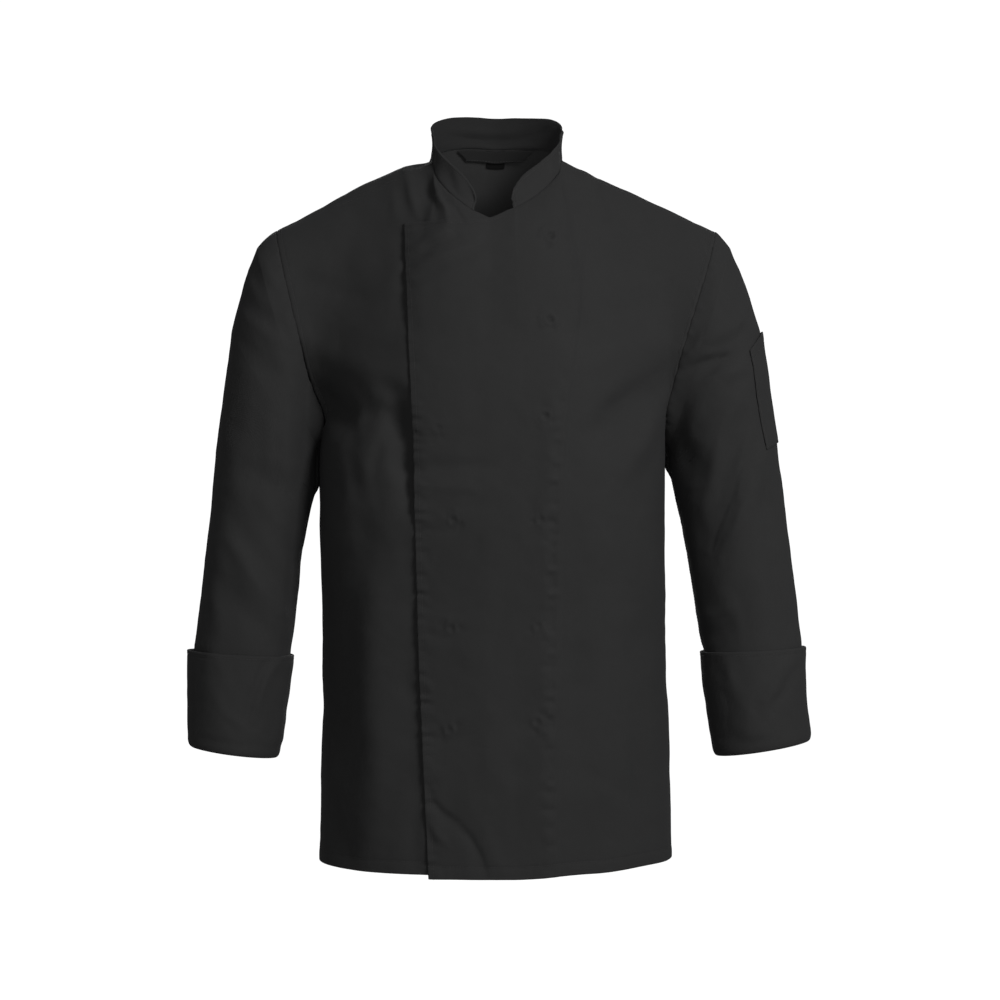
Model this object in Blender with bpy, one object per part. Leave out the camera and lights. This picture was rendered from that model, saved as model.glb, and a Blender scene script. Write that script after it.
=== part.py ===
"""A chef jacket as it is worn, hollow and filled out, with nobody in it.

Metres, +Z up, the front faces -Y and the wearer's left is +X. The origin is in the middle of the
neck, level with the tops of the shoulder seams, where the wearer's neck and shoulders carry it.
Every piece is a wall of cloth between an outer grid of points and the same grid moved inwards.
"""

import math

import bpy
import numpy as np

# Cloth
CLOTH = 0.0015  # one layer of twill with its facing
COLLAR_CLOTH = 0.0024  # two layers and an interlining
CUFF_CLOTH = 0.0020  # turned back double
POCKET_CLOTH = 0.0012
SEAM = 0.0004  # space between two pieces that are sewn together
LAYER = 0.0005  # space between two layers that lie on each other

# Heights
HEM_Z = -0.742
UNDERARM_Z = -0.302
NECK_FRONT_Z = -0.074
CENTRE_X = -0.004  # the middle of the front and back
NECK_X = 0.0015  # the middle of the collar, which is turned a little

# Torso sections: width to the wearer's right and left, depth to the front and back, roundness of the
# corners, from 1 for an ellipse down to 0 for a box.
TORSO_COLUMNS = ("z", "right", "left", "front", "back", "corner")
TORSO = (
    (-0.742, 0.188, 0.186, 0.139, 0.134, 0.84),
    (-0.660, 0.187, 0.184, 0.137, 0.129, 0.86),
    (-0.560, 0.1855, 0.181, 0.135, 0.123, 0.87),
    (-0.460, 0.1860, 0.179, 0.136, 0.121, 0.86),
    (-0.370, 0.187, 0.178, 0.141, 0.128, 0.85),
    (-0.302, 0.187, 0.179, 0.141, 0.134, 0.86),
)
SIDE_Y = 0.004  # the side seams

# Armhole: a leaning oval from the underarm to the shoulder point.
SHOULDER_X = 0.233
SHOULDER_Z = -0.079
ARMHOLE_FRONT = 0.062
ARMHOLE_BACK = 0.066
SCOOP_RIGHT = 0.009  # how far the front of the armhole curves towards the chest
SCOOP_LEFT = 0.015

# Neck: half its width, the ends of the shoulder seams on it, and the middles of front and back.
NECK_HALF = 0.0690
SEAM_END_COLUMNS = ("side", "y", "z", "dip")
SEAM_ENDS = (
    (-1, -0.024, -0.010, 0.000),
    (1, -0.006, -0.004, 0.004),
)
NECK_FRONT_Y = -0.086
NECK_BACK_Y = 0.066
NECK_BACK_Z = 0.016
COLLAR_END = 0.0215  # from the middle of the front to each end of the collar

# Front edges: how far each front crosses the middle, to the wearer's right or left.
EDGE_COLUMNS = ("z", "over", "under")
EDGE = (
    (-0.745, -0.0674, 0.0570),
    (-0.525, -0.0775, 0.0580),
    (-0.322, -0.0831, 0.0640),
    (-0.160, -0.0899, 0.0800),
    (-0.070, -0.0945, 0.0890),
)
HEM_DROP_OVER = 0.004  # the overlap hangs this much lower
HEM_RISE_LEFT = 0.0035  # the hem is this much higher at the wearer's left side
RELAX_HOLD = 0.05  # how firmly the upper back keeps its first shape while it is evened out
OVER_TOP_DROP = 0.004  # the top edge of the overlap falls this much towards its corner

# Collar: a band that stands on the neckline, from its ends round to the back.
COLLAR_COLUMNS = ("place", "height", "lean", "sweep")
COLLAR = (
    (0.0, 0.034, 0.10, 0.55),
    (0.5, 0.037, 0.10, 0.50),
    (1.0, 0.034, 0.06, 0.42),
    (1.4, 0.034, 0.10, 0.10),
    (2.0, 0.034, 0.20, 0.00),
)
COLLAR_END_HEIGHT = 0.015
COLLAR_CORNER = 0.020

# Sleeves: where the outer and the inner line of the sleeve run, seen from the front, then the middle of
# each section from front to back, and half its depth.
SLEEVE_COLUMNS = ("outer_x", "outer_z", "inner_x", "inner_z", "mid_y", "depth")
SLEEVE_RIGHT = (
    (-0.2530, -0.0970, -0.1890, -0.3085, 0.002, 0.0655),
    (-0.2635, -0.1190, -0.1890, -0.3140, 0.002, 0.0670),
    (-0.2725, -0.1500, -0.1890, -0.3205, 0.001, 0.0680),
    (-0.2804, -0.1860, -0.1890, -0.3290, 0.000, 0.0685),
    (-0.2853, -0.2260, -0.1891, -0.3400, -0.001, 0.0680),
    (-0.2892, -0.2680, -0.1900, -0.3540, -0.002, 0.0665),
    (-0.2956, -0.3110, -0.1933, -0.3710, -0.004, 0.0640),
    (-0.2996, -0.3530, -0.1977, -0.3920, -0.006, 0.0615),
    (-0.3025, -0.3950, -0.2024, -0.4180, -0.009, 0.0590),
    (-0.3083, -0.4375, -0.2060, -0.4500, -0.013, 0.0570),
    (-0.3128, -0.4790, -0.2102, -0.4855, -0.018, 0.0550),
    (-0.3170, -0.5150, -0.2137, -0.5200, -0.023, 0.0530),
    (-0.3175, -0.5500, -0.2195, -0.5600, -0.028, 0.0510),
    (-0.3172, -0.5850, -0.2250, -0.5980, -0.032, 0.0490),
    (-0.3170, -0.6100, -0.2285, -0.6220, -0.035, 0.0475),
)
SLEEVE_LEFT = (
    (0.2470, -0.0970, 0.1815, -0.3085, 0.002, 0.0655),
    (0.2575, -0.1190, 0.1820, -0.3140, 0.002, 0.0670),
    (0.2690, -0.1500, 0.1820, -0.3210, 0.001, 0.0680),
    (0.2787, -0.1860, 0.1821, -0.3290, 0.000, 0.0685),
    (0.2850, -0.2260, 0.1833, -0.3390, -0.001, 0.0680),
    (0.2917, -0.2680, 0.1862, -0.3510, -0.002, 0.0665),
    (0.2975, -0.3110, 0.1902, -0.3670, -0.004, 0.0640),
    (0.3030, -0.3530, 0.1950, -0.3880, -0.006, 0.0615),
    (0.3072, -0.3950, 0.2002, -0.4150, -0.009, 0.0590),
    (0.3126, -0.4375, 0.2058, -0.4480, -0.013, 0.0570),
    (0.3176, -0.4790, 0.2110, -0.4830, -0.018, 0.0550),
    (0.3212, -0.5150, 0.2170, -0.5200, -0.023, 0.0530),
    (0.3218, -0.5500, 0.2207, -0.5600, -0.028, 0.0510),
    (0.3240, -0.5820, 0.2258, -0.5980, -0.032, 0.0490),
    (0.3258, -0.6040, 0.2290, -0.6200, -0.035, 0.0475),
)

# Cuffs, turned back over the sleeve's end: how far the loose edge is from the end along the sleeve, how
# far each stands off the sleeve at the outer line and elsewhere, and the hidden part inside.
CUFF_UP = 0.093
CUFF_OUT_RIGHT = 0.0064
CUFF_OUT_LEFT = 0.0036
CUFF_OUT = 0.0030
CUFF_FLARE = 0.0012  # what the loose edge stands off further
CUFF_INSIDE = 0.013
CUFF_FOLD = 0.0105  # how far the fold hangs below the sleeve's end

# Pen pocket on the wearer's left upper sleeve, in turns round the sleeve and rings along it
POCKET_TOP_Z = -0.186
POCKET_BOTTOM_Z = -0.302
POCKET_FRONT_TURN = 0.128
POCKET_BACK_TURN = -0.060
POCKET_GAPE = 0.0012  # how far its mouth stands open

# Hanging loop and size label inside the back neck: half widths and heights
LOOP_TOP_HALF = 0.0435
LOOP_BOTTOM_HALF = 0.0335
LOOP_HEIGHT = 0.0125
LOOP_BELOW = 0.0015
LABEL_HALF = 0.0105
LABEL_HEIGHT = 0.0200
TAPE = 0.0008

# Folds of the body, seen from the front or the back: a line from one point to another, half its width
# and how far the cloth stands out there, or in where that is negative. Faces: -1 front, 1 back.
FOLD_COLUMNS = ("face", "x1", "z1", "x2", "z2", "width", "height")
BODY_FOLDS = (
    (-1, -0.186, -0.238, -0.120, -0.268, 0.026, -0.0080),
    (-1, -0.104, -0.262, -0.084, -0.340, 0.017, -0.0045),
    (-1, -0.164, -0.480, -0.162, -0.742, 0.020, -0.0050),
    (-1, -0.124, -0.460, -0.120, -0.700, 0.020, 0.0035),
    (-1, -0.140, -0.300, -0.105, -0.420, 0.018, 0.0030),
    (-1, 0.172, -0.248, 0.105, -0.300, 0.021, -0.0065),
    (-1, 0.166, -0.285, 0.120, -0.345, 0.013, 0.0035),
    (-1, 0.128, -0.500, 0.138, -0.742, 0.028, 0.0030),
    (-1, 0.088, -0.520, 0.092, -0.742, 0.020, -0.0025),
    (1, -0.215, -0.070, -0.077, -0.002, 0.021, 0.0115),
    (1, -0.160, -0.046, -0.076, -0.003, 0.015, 0.0085),
    (1, 0.215, -0.070, 0.120, -0.030, 0.018, 0.0020),
    (1, -0.150, -0.200, -0.090, -0.300, 0.024, -0.0060),
    (1, 0.150, -0.205, 0.088, -0.310, 0.024, -0.0060),
    (1, -0.105, -0.330, -0.070, -0.560, 0.020, 0.0045),
    (1, 0.100, -0.350, 0.062, -0.580, 0.020, 0.0045),
    (1, -0.010, -0.400, 0.004, -0.742, 0.026, 0.0035),
    (1, -0.135, -0.520, -0.140, -0.742, 0.020, -0.0040),
    (1, 0.138, -0.540, 0.134, -0.742, 0.020, -0.0040),
    (1, -0.060, -0.600, -0.066, -0.742, 0.018, -0.0030),
    (1, 0.070, -0.610, 0.074, -0.742, 0.018, -0.0030),
)
RIGHT_SLEEVE_FOLDS = (
    (-1, -0.228, -0.200, -0.200, -0.262, 0.011, 0.0040),
    (-1, -0.285, -0.392, -0.228, -0.480, 0.012, 0.0035),
    (-1, -0.275, -0.452, -0.222, -0.520, 0.012, -0.0030),
    (-1, -0.262, -0.330, -0.205, -0.360, 0.014, -0.0030),
    (1, -0.240, -0.180, -0.200, -0.270, 0.014, -0.0040),
    (1, -0.290, -0.380, -0.215, -0.440, 0.013, -0.0035),
    (1, -0.300, -0.430, -0.220, -0.500, 0.013, 0.0035),
)
LEFT_SLEEVE_FOLDS = (
    (-1, 0.188, -0.250, 0.245, -0.212, 0.010, -0.0045),
    (-1, 0.196, -0.228, 0.230, -0.180, 0.009, 0.0030),
    (-1, 0.262, -0.260, 0.215, -0.420, 0.012, -0.0035),
    (-1, 0.282, -0.300, 0.240, -0.440, 0.012, 0.0035),
    (-1, 0.196, -0.300, 0.212, -0.350, 0.014, -0.0050),
    (1, 0.240, -0.180, 0.200, -0.270, 0.014, -0.0040),
    (1, 0.290, -0.380, 0.215, -0.440, 0.013, -0.0035),
    (1, 0.300, -0.430, 0.225, -0.500, 0.013, 0.0035),
)

# How finely the walls are divided
BODY_ROWS = 12
ARM_ROWS = 12
SHOULDER_COLUMNS = 10
NECK_COLUMNS = 6
OVERLAP_COLUMNS = 5
COLLAR_ROWS = 4
SLEEVE_RINGS = 16
CUFF_RINGS = 4

COLOURS = {
    "twill": (0.028, 0.028, 0.029, 1.0),
    "tape": (0.016, 0.016, 0.017, 1.0),
}


def smooth_step(value):
    """0 below 0, 1 above 1, with level ends."""
    clipped = np.clip(value, 0.0, 1.0)
    return clipped * clipped * (3.0 - 2.0 * clipped)


def curve_through(keys, values, at):
    """Values of a smooth curve through (keys, values), which may be rows of points. Keys rise."""
    keys = np.asarray(keys, float)
    values = np.asarray(values, float)
    at = np.clip(np.asarray(at, float), keys[0], keys[-1])
    slopes = np.gradient(values, keys, axis=0)
    low = np.clip(np.searchsorted(keys, at, side="right") - 1, 0, len(keys) - 2)
    span = keys[low + 1] - keys[low]
    t = (at - keys[low]) / span
    wide = at.shape + (1,) * (values.ndim - 1)
    span, t = span.reshape(wide), t.reshape(wide)
    a = values[low] * (1 + 2 * t) * (1 - t) ** 2
    b = slopes[low] * span * t * (1 - t) ** 2
    c = values[low + 1] * t * t * (3 - 2 * t)
    d = slopes[low + 1] * span * t * t * (t - 1)
    return a + b + c + d


def column(table, names, name):
    """One named column of a table."""
    return np.array([row[names.index(name)] for row in table], float)


def torso_size(name, z):
    keys = column(TORSO, TORSO_COLUMNS, "z")
    return curve_through(keys, column(TORSO, TORSO_COLUMNS, name), z)


def edge_x(name, z):
    keys = column(EDGE, EDGE_COLUMNS, "z")
    return curve_through(keys, column(EDGE, EDGE_COLUMNS, name), z)


def unit(vectors):
    length = np.linalg.norm(vectors, axis=-1, keepdims=True)
    return vectors / np.maximum(length, 1e-12)


def shoulder_point(side):
    return np.array([side * SHOULDER_X, SIDE_Y, SHOULDER_Z])


def underarm_point(side):
    width = torso_size("left" if side > 0 else "right", UNDERARM_Z)
    return np.array([side * width, SIDE_Y, UNDERARM_Z])


def seam_end(side, name):
    row = SEAM_ENDS[0] if side < 0 else SEAM_ENDS[1]
    return row[SEAM_END_COLUMNS.index(name)]


def neck_point(side):
    """Where a shoulder seam meets the collar."""
    return np.array([NECK_X + side * NECK_HALF, seam_end(side, "y"), seam_end(side, "z")])


def armhole(side, face, v):
    """Points of the armhole, from the underarm at v 0 to the shoulder at v 1."""
    turn = math.pi * (1.0 - np.asarray(v, float))
    low, high = underarm_point(side), shoulder_point(side)
    middle = (low + high) / 2
    depth = ARMHOLE_FRONT if face < 0 else ARMHOLE_BACK
    points = middle + np.cos(turn)[:, None] * (high - low) / 2
    points[:, 1] += face * depth * np.sin(turn)
    if face < 0:
        scoop = SCOOP_LEFT if side > 0 else SCOOP_RIGHT
        points[:, 0] -= side * scoop * np.sin(turn) * (1 - np.cos(turn)) / 2
    return points


def body_section(side, face, fraction, z):
    """Points of one quarter of the torso at height z, from the side seam at 0 to the middle at 1."""
    width = torso_size("left" if side > 0 else "right", z) + side * CENTRE_X * -1
    depth = torso_size("front" if face < 0 else "back", z)
    corner = torso_size("corner", z)
    angle = np.asarray(fraction, float) * math.pi / 2
    across = np.cos(angle) ** corner
    forward = np.sin(angle) ** corner
    x = CENTRE_X + side * width * across
    y = SIDE_Y + face * (depth + (SIDE_Y if face < 0 else -SIDE_Y)) * forward
    return np.stack([x, y, np.broadcast_to(z, x.shape)], axis=-1)


def top_edge(side, face, fraction):
    """The upper edge of a front or back: shoulder seam for fractions to 1, then neckline to 2."""
    fraction = np.asarray(fraction, float)
    start, end = shoulder_point(side), neck_point(side)
    along = np.clip(fraction, 0, 1)[:, None]
    points = start + (end - start) * along
    points[:, 2] -= seam_end(side, "dip") * 1.6 * np.sin(math.pi * along[:, 0]) * along[:, 0]
    turn = np.clip(fraction - 1, 0, 1) * math.pi / 2
    cos, sin = np.cos(turn), np.sin(turn)
    if face < 0:
        middle = np.array([CENTRE_X, NECK_FRONT_Y, NECK_FRONT_Z])
        drop = 0.58 * sin + 0.42 * (1 - cos)
    else:
        middle = np.array([(CENTRE_X + NECK_X) / 2, NECK_BACK_Y, NECK_BACK_Z])
        drop = sin * (1 + 0.35 * cos)
    past = fraction > 1
    points[past, 0] = (middle[0] + (end[0] - middle[0]) * cos)[past]
    points[past, 1] = (end[1] + (middle[1] - end[1]) * sin)[past]
    points[past, 2] = (end[2] + (middle[2] - end[2]) * drop)[past]
    return points


def top_slope(face, fraction):
    """Which way a column of cloth runs where it reaches the upper edge, and how strongly."""
    keys = np.array([0.0, 0.5, 1.0, 2.0])
    if face < 0:
        ways = np.array([[0.0, 0.95, 0.15], [0.0, 0.85, 0.53], [0.0, 0.87, 0.49], [0.0, 0.50, 0.866]])
        lengths = np.array([0.60, 0.62, 0.62, 0.95])
    else:
        ways = np.array([[0.0, -0.95, -0.15], [0.0, -0.85, -0.53], [0.0, -0.87, -0.49], [0.0, -0.45, 0.893]])
        lengths = np.array([0.80, 1.05, 1.05, 1.00])
    eased = np.where(fraction > 1, 1 + smooth_step(fraction - 1), fraction)
    way = np.stack([np.interp(eased, keys, ways[:, k]) for k in range(3)], axis=-1)
    return unit(way) * np.interp(eased, keys, lengths)[:, None]


def body_fraction(face, side, fraction, z):
    """Where a column that ends at this place of the upper edge crosses the body's sections."""
    neck_share = 0.63  # the neck column crosses each quarter section here
    low = np.clip(fraction, 0, 1) * neck_share
    high = np.clip(fraction - 1, 0, 1) * (1 - neck_share)
    return low + high


def torso_points(side, face, fraction, level):
    """Points on one quarter of the torso.

    fraction runs from the side seam, 0, past the neck point, 1, to the middle, 2. level runs from the
    hem, 0, past the underarm, 1, to the shoulder and neck, 2.
    """
    fraction, level = np.broadcast_arrays(np.asarray(fraction, float), np.asarray(level, float))
    shape = fraction.shape
    fraction, level = fraction.ravel(), level.ravel()
    low = np.clip(level, 0, 1)
    z = HEM_Z + (UNDERARM_Z - HEM_Z) * low
    quarter = body_fraction(face, side, fraction, z)
    points = body_section(side, face, quarter, z)
    above = level > 1
    if above.any():
        v = level[above] - 1
        f = fraction[above]
        base = points[above]
        step = 0.002
        before = body_section(side, face, quarter[above], np.full(v.shape, UNDERARM_Z - step))
        top = top_edge(side, face, f)
        height = np.linalg.norm(top - base, axis=1, keepdims=True)
        rise = unit(base - before) * height * 1.02
        arrive = top_slope(face, f) * height
        t = v[:, None]
        column_points = (
            base * (1 + 2 * t) * (1 - t) ** 2
            + rise * t * (1 - t) ** 2
            + top * t * t * (3 - 2 * t)
            + arrive * t * t * (t - 1)
        )
        edge_base = np.repeat(body_section(side, face, np.zeros(1), np.array([UNDERARM_Z])), len(v), 0)
        edge_top = np.repeat(top_edge(side, face, np.zeros(1)), len(v), 0)
        edge_height = np.linalg.norm(edge_top - edge_base, axis=1, keepdims=True)
        edge_rise = np.array([0.0, 0.0, 1.0]) * edge_height * 1.02
        edge_arrive = top_slope(face, np.zeros(len(v))) * edge_height
        edge_points = (
            edge_base * (1 + 2 * t) * (1 - t) ** 2
            + edge_rise * t * (1 - t) ** 2
            + edge_top * t * t * (3 - 2 * t)
            + edge_arrive * t * t * (t - 1)
        )
        pull = armhole(side, face, v) - edge_points
        weight = (1 - np.clip(f, 0, 1)) ** 3
        points[above] = column_points + pull * weight[:, None]
    return points.reshape(shape + (3,))


def on_facets(grid, x, z):
    """Points of a front's own half that have this x and z, on its flat cells, by Newton's method."""
    shape = np.shape(x)
    x, z = np.ravel(x), np.ravel(z)
    fine = np.meshgrid(np.arange(0, grid.shape[0] - 0.99, 0.2), np.arange(0, grid.shape[1] - 0.99, 0.2), indexing="ij")
    tried = on_grid(grid, *fine)[..., [0, 2]].reshape(-1, 2)
    nearest = np.array([np.argmin((tried[:, 0] - a) ** 2 + (tried[:, 1] - b) ** 2) for a, b in zip(x, z)])
    row, column_at = fine[0].ravel()[nearest], fine[1].ravel()[nearest]
    step = 1e-4
    for _ in range(25):
        here = on_grid(grid, row, column_at)
        by_row = (on_grid(grid, row + step, column_at) - here) / step
        by_column = (on_grid(grid, row, column_at + step) - here) / step
        a, b = by_row[:, 0], by_column[:, 0]
        c, d = by_row[:, 2], by_column[:, 2]
        error_x, error_z = x - here[:, 0], z - here[:, 2]
        det = a * d - b * c
        det = np.where(np.abs(det) < 1e-12, 1e-12, det)
        row = row + np.clip((d * error_x - b * error_z) / det, -0.4, 0.4)
        column_at = column_at + np.clip((a * error_z - c * error_x) / det, -0.4, 0.4)
        row = np.clip(row, 0, grid.shape[0] - 1)
        column_at = np.clip(column_at, 0, grid.shape[1] - 1)
    return on_grid(grid, row, column_at).reshape(shape + (3,))


def grid_normals(points, closed=False):
    """Outward normals of a grid of points, rows up and columns from the wearer's left to right in front."""
    if closed:
        ahead, behind = np.roll(points, -1, axis=1), np.roll(points, 1, axis=1)
        across = ahead - behind
    else:
        across = np.gradient(points, axis=1)
    up = np.gradient(points, axis=0)
    return unit(np.cross(up, across))


def cell_corners(points, i, j):
    """A cell's corner indices in order, and its two triangles, split along its shorter diagonal."""
    after = (j + 1) % points.shape[1]
    ring = [(i, j), (i, after), (i + 1, after), (i + 1, j)]
    a, b, c, d = (points[k] for k in ring)
    if np.linalg.norm(a - c) <= np.linalg.norm(b - d):
        return ring, ((0, 1, 2), (0, 2, 3))
    return ring, ((0, 1, 3), (1, 2, 3))


def facet_normals(points, cells, closed):
    """Normals at the points, from the flat triangles round each, by the angle each has there."""
    total = np.zeros_like(points)
    for i, j in zip(*np.nonzero(cells)):
        ring, triangles = cell_corners(points, i, j)
        for triangle in triangles:
            spots = [points[ring[k]] for k in triangle]
            normal = unit(np.cross(spots[2] - spots[0], spots[1] - spots[0]))
            for k in range(3):
                one, two = unit(spots[k - 1] - spots[k]), unit(spots[k - 2] - spots[k])
                total[ring[triangle[k]]] += normal * math.acos(float(np.clip(one @ two, -1, 1)))
    missing = np.linalg.norm(total, axis=-1) < 1e-9
    total[missing] = grid_normals(points, closed)[missing]
    return unit(total)


def fold_height(folds, points):
    """How far the folds move each point out."""
    total = np.zeros(points.shape[:-1])
    for face, x1, z1, x2, z2, width, height in folds:
        start, line = np.array([x1, z1]), np.array([x2 - x1, z2 - z1])
        offset = points[..., [0, 2]] - start
        along = np.clip((offset @ line) / (line @ line), 0, 1)
        distance = np.linalg.norm(offset - along[..., None] * line, axis=-1)
        taper = 0.35 + 0.65 * np.sin(math.pi * np.clip(along, 0.02, 0.98)) ** 0.7
        same_face = smooth_step(0.5 + face * (points[..., 1] - SIDE_Y) / 0.05)
        total += height * taper * same_face * np.exp(-((distance / width) ** 2))
    return total


class Panel:
    """One piece of cloth: a grid of outer points, which cells are cloth, and how thick it is."""

    def __init__(self, name, points, cloth=CLOTH, cells=None, closed=False, material="twill"):
        self.name = name
        self.points = points
        self.cloth = cloth
        self.closed = closed
        self.material = material
        rows, columns = points.shape[:2]
        self.cells = np.ones((rows - 1, columns if closed else columns - 1), bool) if cells is None else cells
        self.refresh()

    def refresh(self):
        self.own_normals = facet_normals(self.points, self.cells, self.closed)
        self.normals = self.own_normals.copy()
        self.folded = np.zeros(self.points.shape[:2])

    def rim(self):
        """Which points are on the edge of the cloth."""
        rows, columns = self.points.shape[:2]
        count = np.zeros((rows, columns), int)
        for i, j in zip(*np.nonzero(self.cells)):
            count[i : i + 2, [j, (j + 1) % columns]] += 1
        return (count > 0) & (count < 4)


def share_seams(panels):
    """Gives points that panels share one normal, so that their walls end on the same plane.

    Where two walls fold back on each other, as under the arm, the plane runs between them.
    """
    shared = {}
    for panel in panels:
        for i, j in zip(*np.nonzero(panel.rim())):
            key = tuple(np.round(panel.points[i, j] * 20000).astype(int))
            shared.setdefault(key, []).append((panel, i, j))
    for entries in shared.values():
        if len({id(e[0]) for e in entries}) < 2:
            continue
        own = np.array([panel.own_normals[i, j] for panel, i, j in entries])
        inward = np.array([panel_middle(panel, i, j) - panel.points[i, j] for panel, i, j in entries])
        inward = unit(inward - (inward * own).sum(axis=1, keepdims=True) * own)
        share = 1 / np.clip(own @ own.T, 0, None).sum(axis=1)
        mean = (own * share[:, None]).sum(axis=0) / share.sum()
        towards = (inward * share[:, None]).sum(axis=0) / share.sum()
        hollow = np.sign((own @ inward.T).sum() - np.trace(own @ inward.T))
        folded = np.clip((0.75 - np.linalg.norm(mean)) / 0.35, 0, 1)
        meet = mean + hollow * folded * towards
        lines = [seam_line(*entry) for entry in entries]
        if all(line is not None for line in lines):
            meet = meet - (meet @ lines[0]) * lines[0]
        meet = unit(meet)
        for (panel, i, j), normal in zip(entries, own):
            panel.normals[i, j] = meet / max(float(meet @ normal), 0.75)
            panel.folded[i, j] = max(hollow, 0) * folded


def seam_line(panel, i, j):
    """Which way the rim runs at a point, or None where it turns a corner."""
    rows, columns = panel.points.shape[:2]
    near = rim_neighbours(panel.cells, i, j, rows, columns, panel.closed)
    if len(near) != 2:
        return None
    one, two = (unit(panel.points[k] - panel.points[i, j]) for k in near)
    return unit(one - two) if one @ two < -0.6 else None


def drawn_back(panel):
    """The outer points, with each rim drawn back from its seam by half of the seam's space.

    The move is square to the plane in which the two walls meet, so they end SEAM apart at any angle.
    """
    points, normals = panel.points, panel.normals
    rows, columns = points.shape[:2]
    moved = points.copy()
    rim = panel.rim()
    for i, j in zip(*np.nonzero(rim)):
        meet = unit(normals[i, j])
        own = panel.own_normals[i, j]
        inward = panel_middle(panel, i, j) - points[i, j]
        ways = []
        for a, b in rim_neighbours(panel.cells, i, j, rows, columns, panel.closed):
            edge = unit(points[a, b] - points[i, j])
            side = np.cross(edge, own)
            if side @ inward < 0:
                side = -side
            way = np.cross(edge, meet)
            if np.linalg.norm(way) < 0.35:
                way = side
            aside = side - 0.9 * panel.folded[i, j] * own
            ways.append(unit(way if way @ aside >= 0 else -way))
        if len(ways) == 2:
            moved[i, j] += (ways[0] + ways[1]) * (SEAM / 2) / max(1 + ways[0] @ ways[1], 0.5)
        else:
            moved[i, j] += sum(ways) * (SEAM / 2) / max(len(ways), 1)
    return moved


def panel_middle(panel, i, j):
    """The middle of the cells of cloth round a point."""
    rows, columns = panel.points.shape[:2]
    total, count = np.zeros(3), 0
    for a in (i - 1, i):
        for b in (j - 1, j):
            b = b % columns if panel.closed else b
            if 0 <= a < panel.cells.shape[0] and 0 <= b < panel.cells.shape[1] and panel.cells[a, b]:
                after = (b + 1) % columns
                total += sum(panel.points[c] for c in ((a, b), (a + 1, b), (a, after), (a + 1, after))) / 4
                count += 1
    return total / count


def rim_neighbours(cells, i, j, rows, columns, closed):
    """Grid points joined to (i, j) by an edge of the cloth that only one cell uses."""

    def cloth(a, b):
        if closed:
            b %= columns
        if not (0 <= a < cells.shape[0] and 0 <= b < cells.shape[1]):
            return False
        return bool(cells[a, b])

    found = []
    if cloth(i, j) != cloth(i, j - 1):
        found.append((i + 1, j))
    if cloth(i - 1, j) != cloth(i - 1, j - 1):
        found.append((i - 1, j))
    if cloth(i, j) != cloth(i - 1, j):
        found.append((i, (j + 1) % columns))
    if cloth(i, j - 1) != cloth(i - 1, j - 1):
        found.append((i, (j - 1) % columns))
    return [(a, b) for a, b in found if 0 <= a < rows and 0 <= b < columns]


def make_wall(panel):
    """Builds a panel as a closed solid: the outer grid, the inner grid and a band round every edge."""
    outer = drawn_back(panel)
    inner = outer - panel.normals * panel.cloth
    numbers, corners = {}, []

    def number(layer, i, j):
        if (layer, i, j) not in numbers:
            numbers[layer, i, j] = len(corners)
            corners.append((outer, inner)[layer][i, j])
        return numbers[layer, i, j]

    faces = []
    edges = {}
    for i, j in zip(*np.nonzero(panel.cells)):
        ring, triangles = cell_corners(panel.points, i, j)
        for a, b, c in triangles:
            faces.append([number(0, *ring[k]) for k in (a, c, b)])
            faces.append([number(1, *ring[k]) for k in (a, b, c)])
        for k in range(4):
            a, b = ring[k], ring[(k + 1) % 4]
            edges.setdefault(frozenset((a, b)), []).append((a, b))
    for pairs in edges.values():
        if len(pairs) == 1:
            a, b = pairs[0]
            band = [number(0, *a), number(0, *b), number(1, *b), number(1, *a)]
            # The choice depends on the place only, so the two sides of a seam are split alike.
            first = tuple(panel.points[a]) < tuple(panel.points[b])
            for triangle in ((0, 1, 2), (0, 2, 3)) if first else ((0, 1, 3), (1, 2, 3)):
                faces.append([band[k] for k in triangle])
    add_object(panel.name, corners, faces, panel.material)


def add_object(name, corners, faces, material):
    mesh = bpy.data.meshes.new(name)
    mesh.from_pydata([tuple(map(float, p)) for p in corners], [], [tuple(map(int, f)) for f in faces])
    mesh.materials.append(material_named(material))
    mesh.shade_smooth()
    mesh.set_sharp_from_angle(angle=math.radians(40))
    thing = bpy.data.objects.new(name, mesh)
    bpy.context.scene.collection.objects.link(thing)
    return thing


def material_named(name):
    found = bpy.data.materials.get(name)
    if found:
        return found
    made = bpy.data.materials.new(name)
    made.use_nodes = True
    shader = made.node_tree.nodes["Principled BSDF"]
    shader.inputs["Base Color"].default_value = COLOURS[name]
    shader.inputs["Roughness"].default_value = 0.82
    shader.inputs["Metallic"].default_value = 0.0
    return made


def levels():
    """Rows of the body: hem to underarm, then underarm to the top."""
    body = np.linspace(0, 1, BODY_ROWS + 1)
    arm = 1 + np.linspace(0, 1, ARM_ROWS + 1)[1:]
    return np.concatenate([body, arm])


def neck_fractions():
    """Columns that end at the neckline, from the neck point to the middle, closer at the collar's end."""
    end = collar_end_fraction()
    share = 1 - (1 - np.linspace(0, 1, NECK_COLUMNS + 1)[1:]) ** 1.7
    return np.concatenate([1 + share * (end - 1), [2.0]])


def collar_end_fraction():
    """Where the collar ends, as a place on the upper edge of a front."""
    places = np.linspace(1, 2, 400)
    reach = np.abs(top_edge(1, -1, places)[:, 0] - CENTRE_X)
    return float(np.interp(-COLLAR_END, -reach, places))


def side_columns():
    return np.concatenate([np.linspace(0, 1, SHOULDER_COLUMNS + 1), neck_fractions()])


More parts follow.
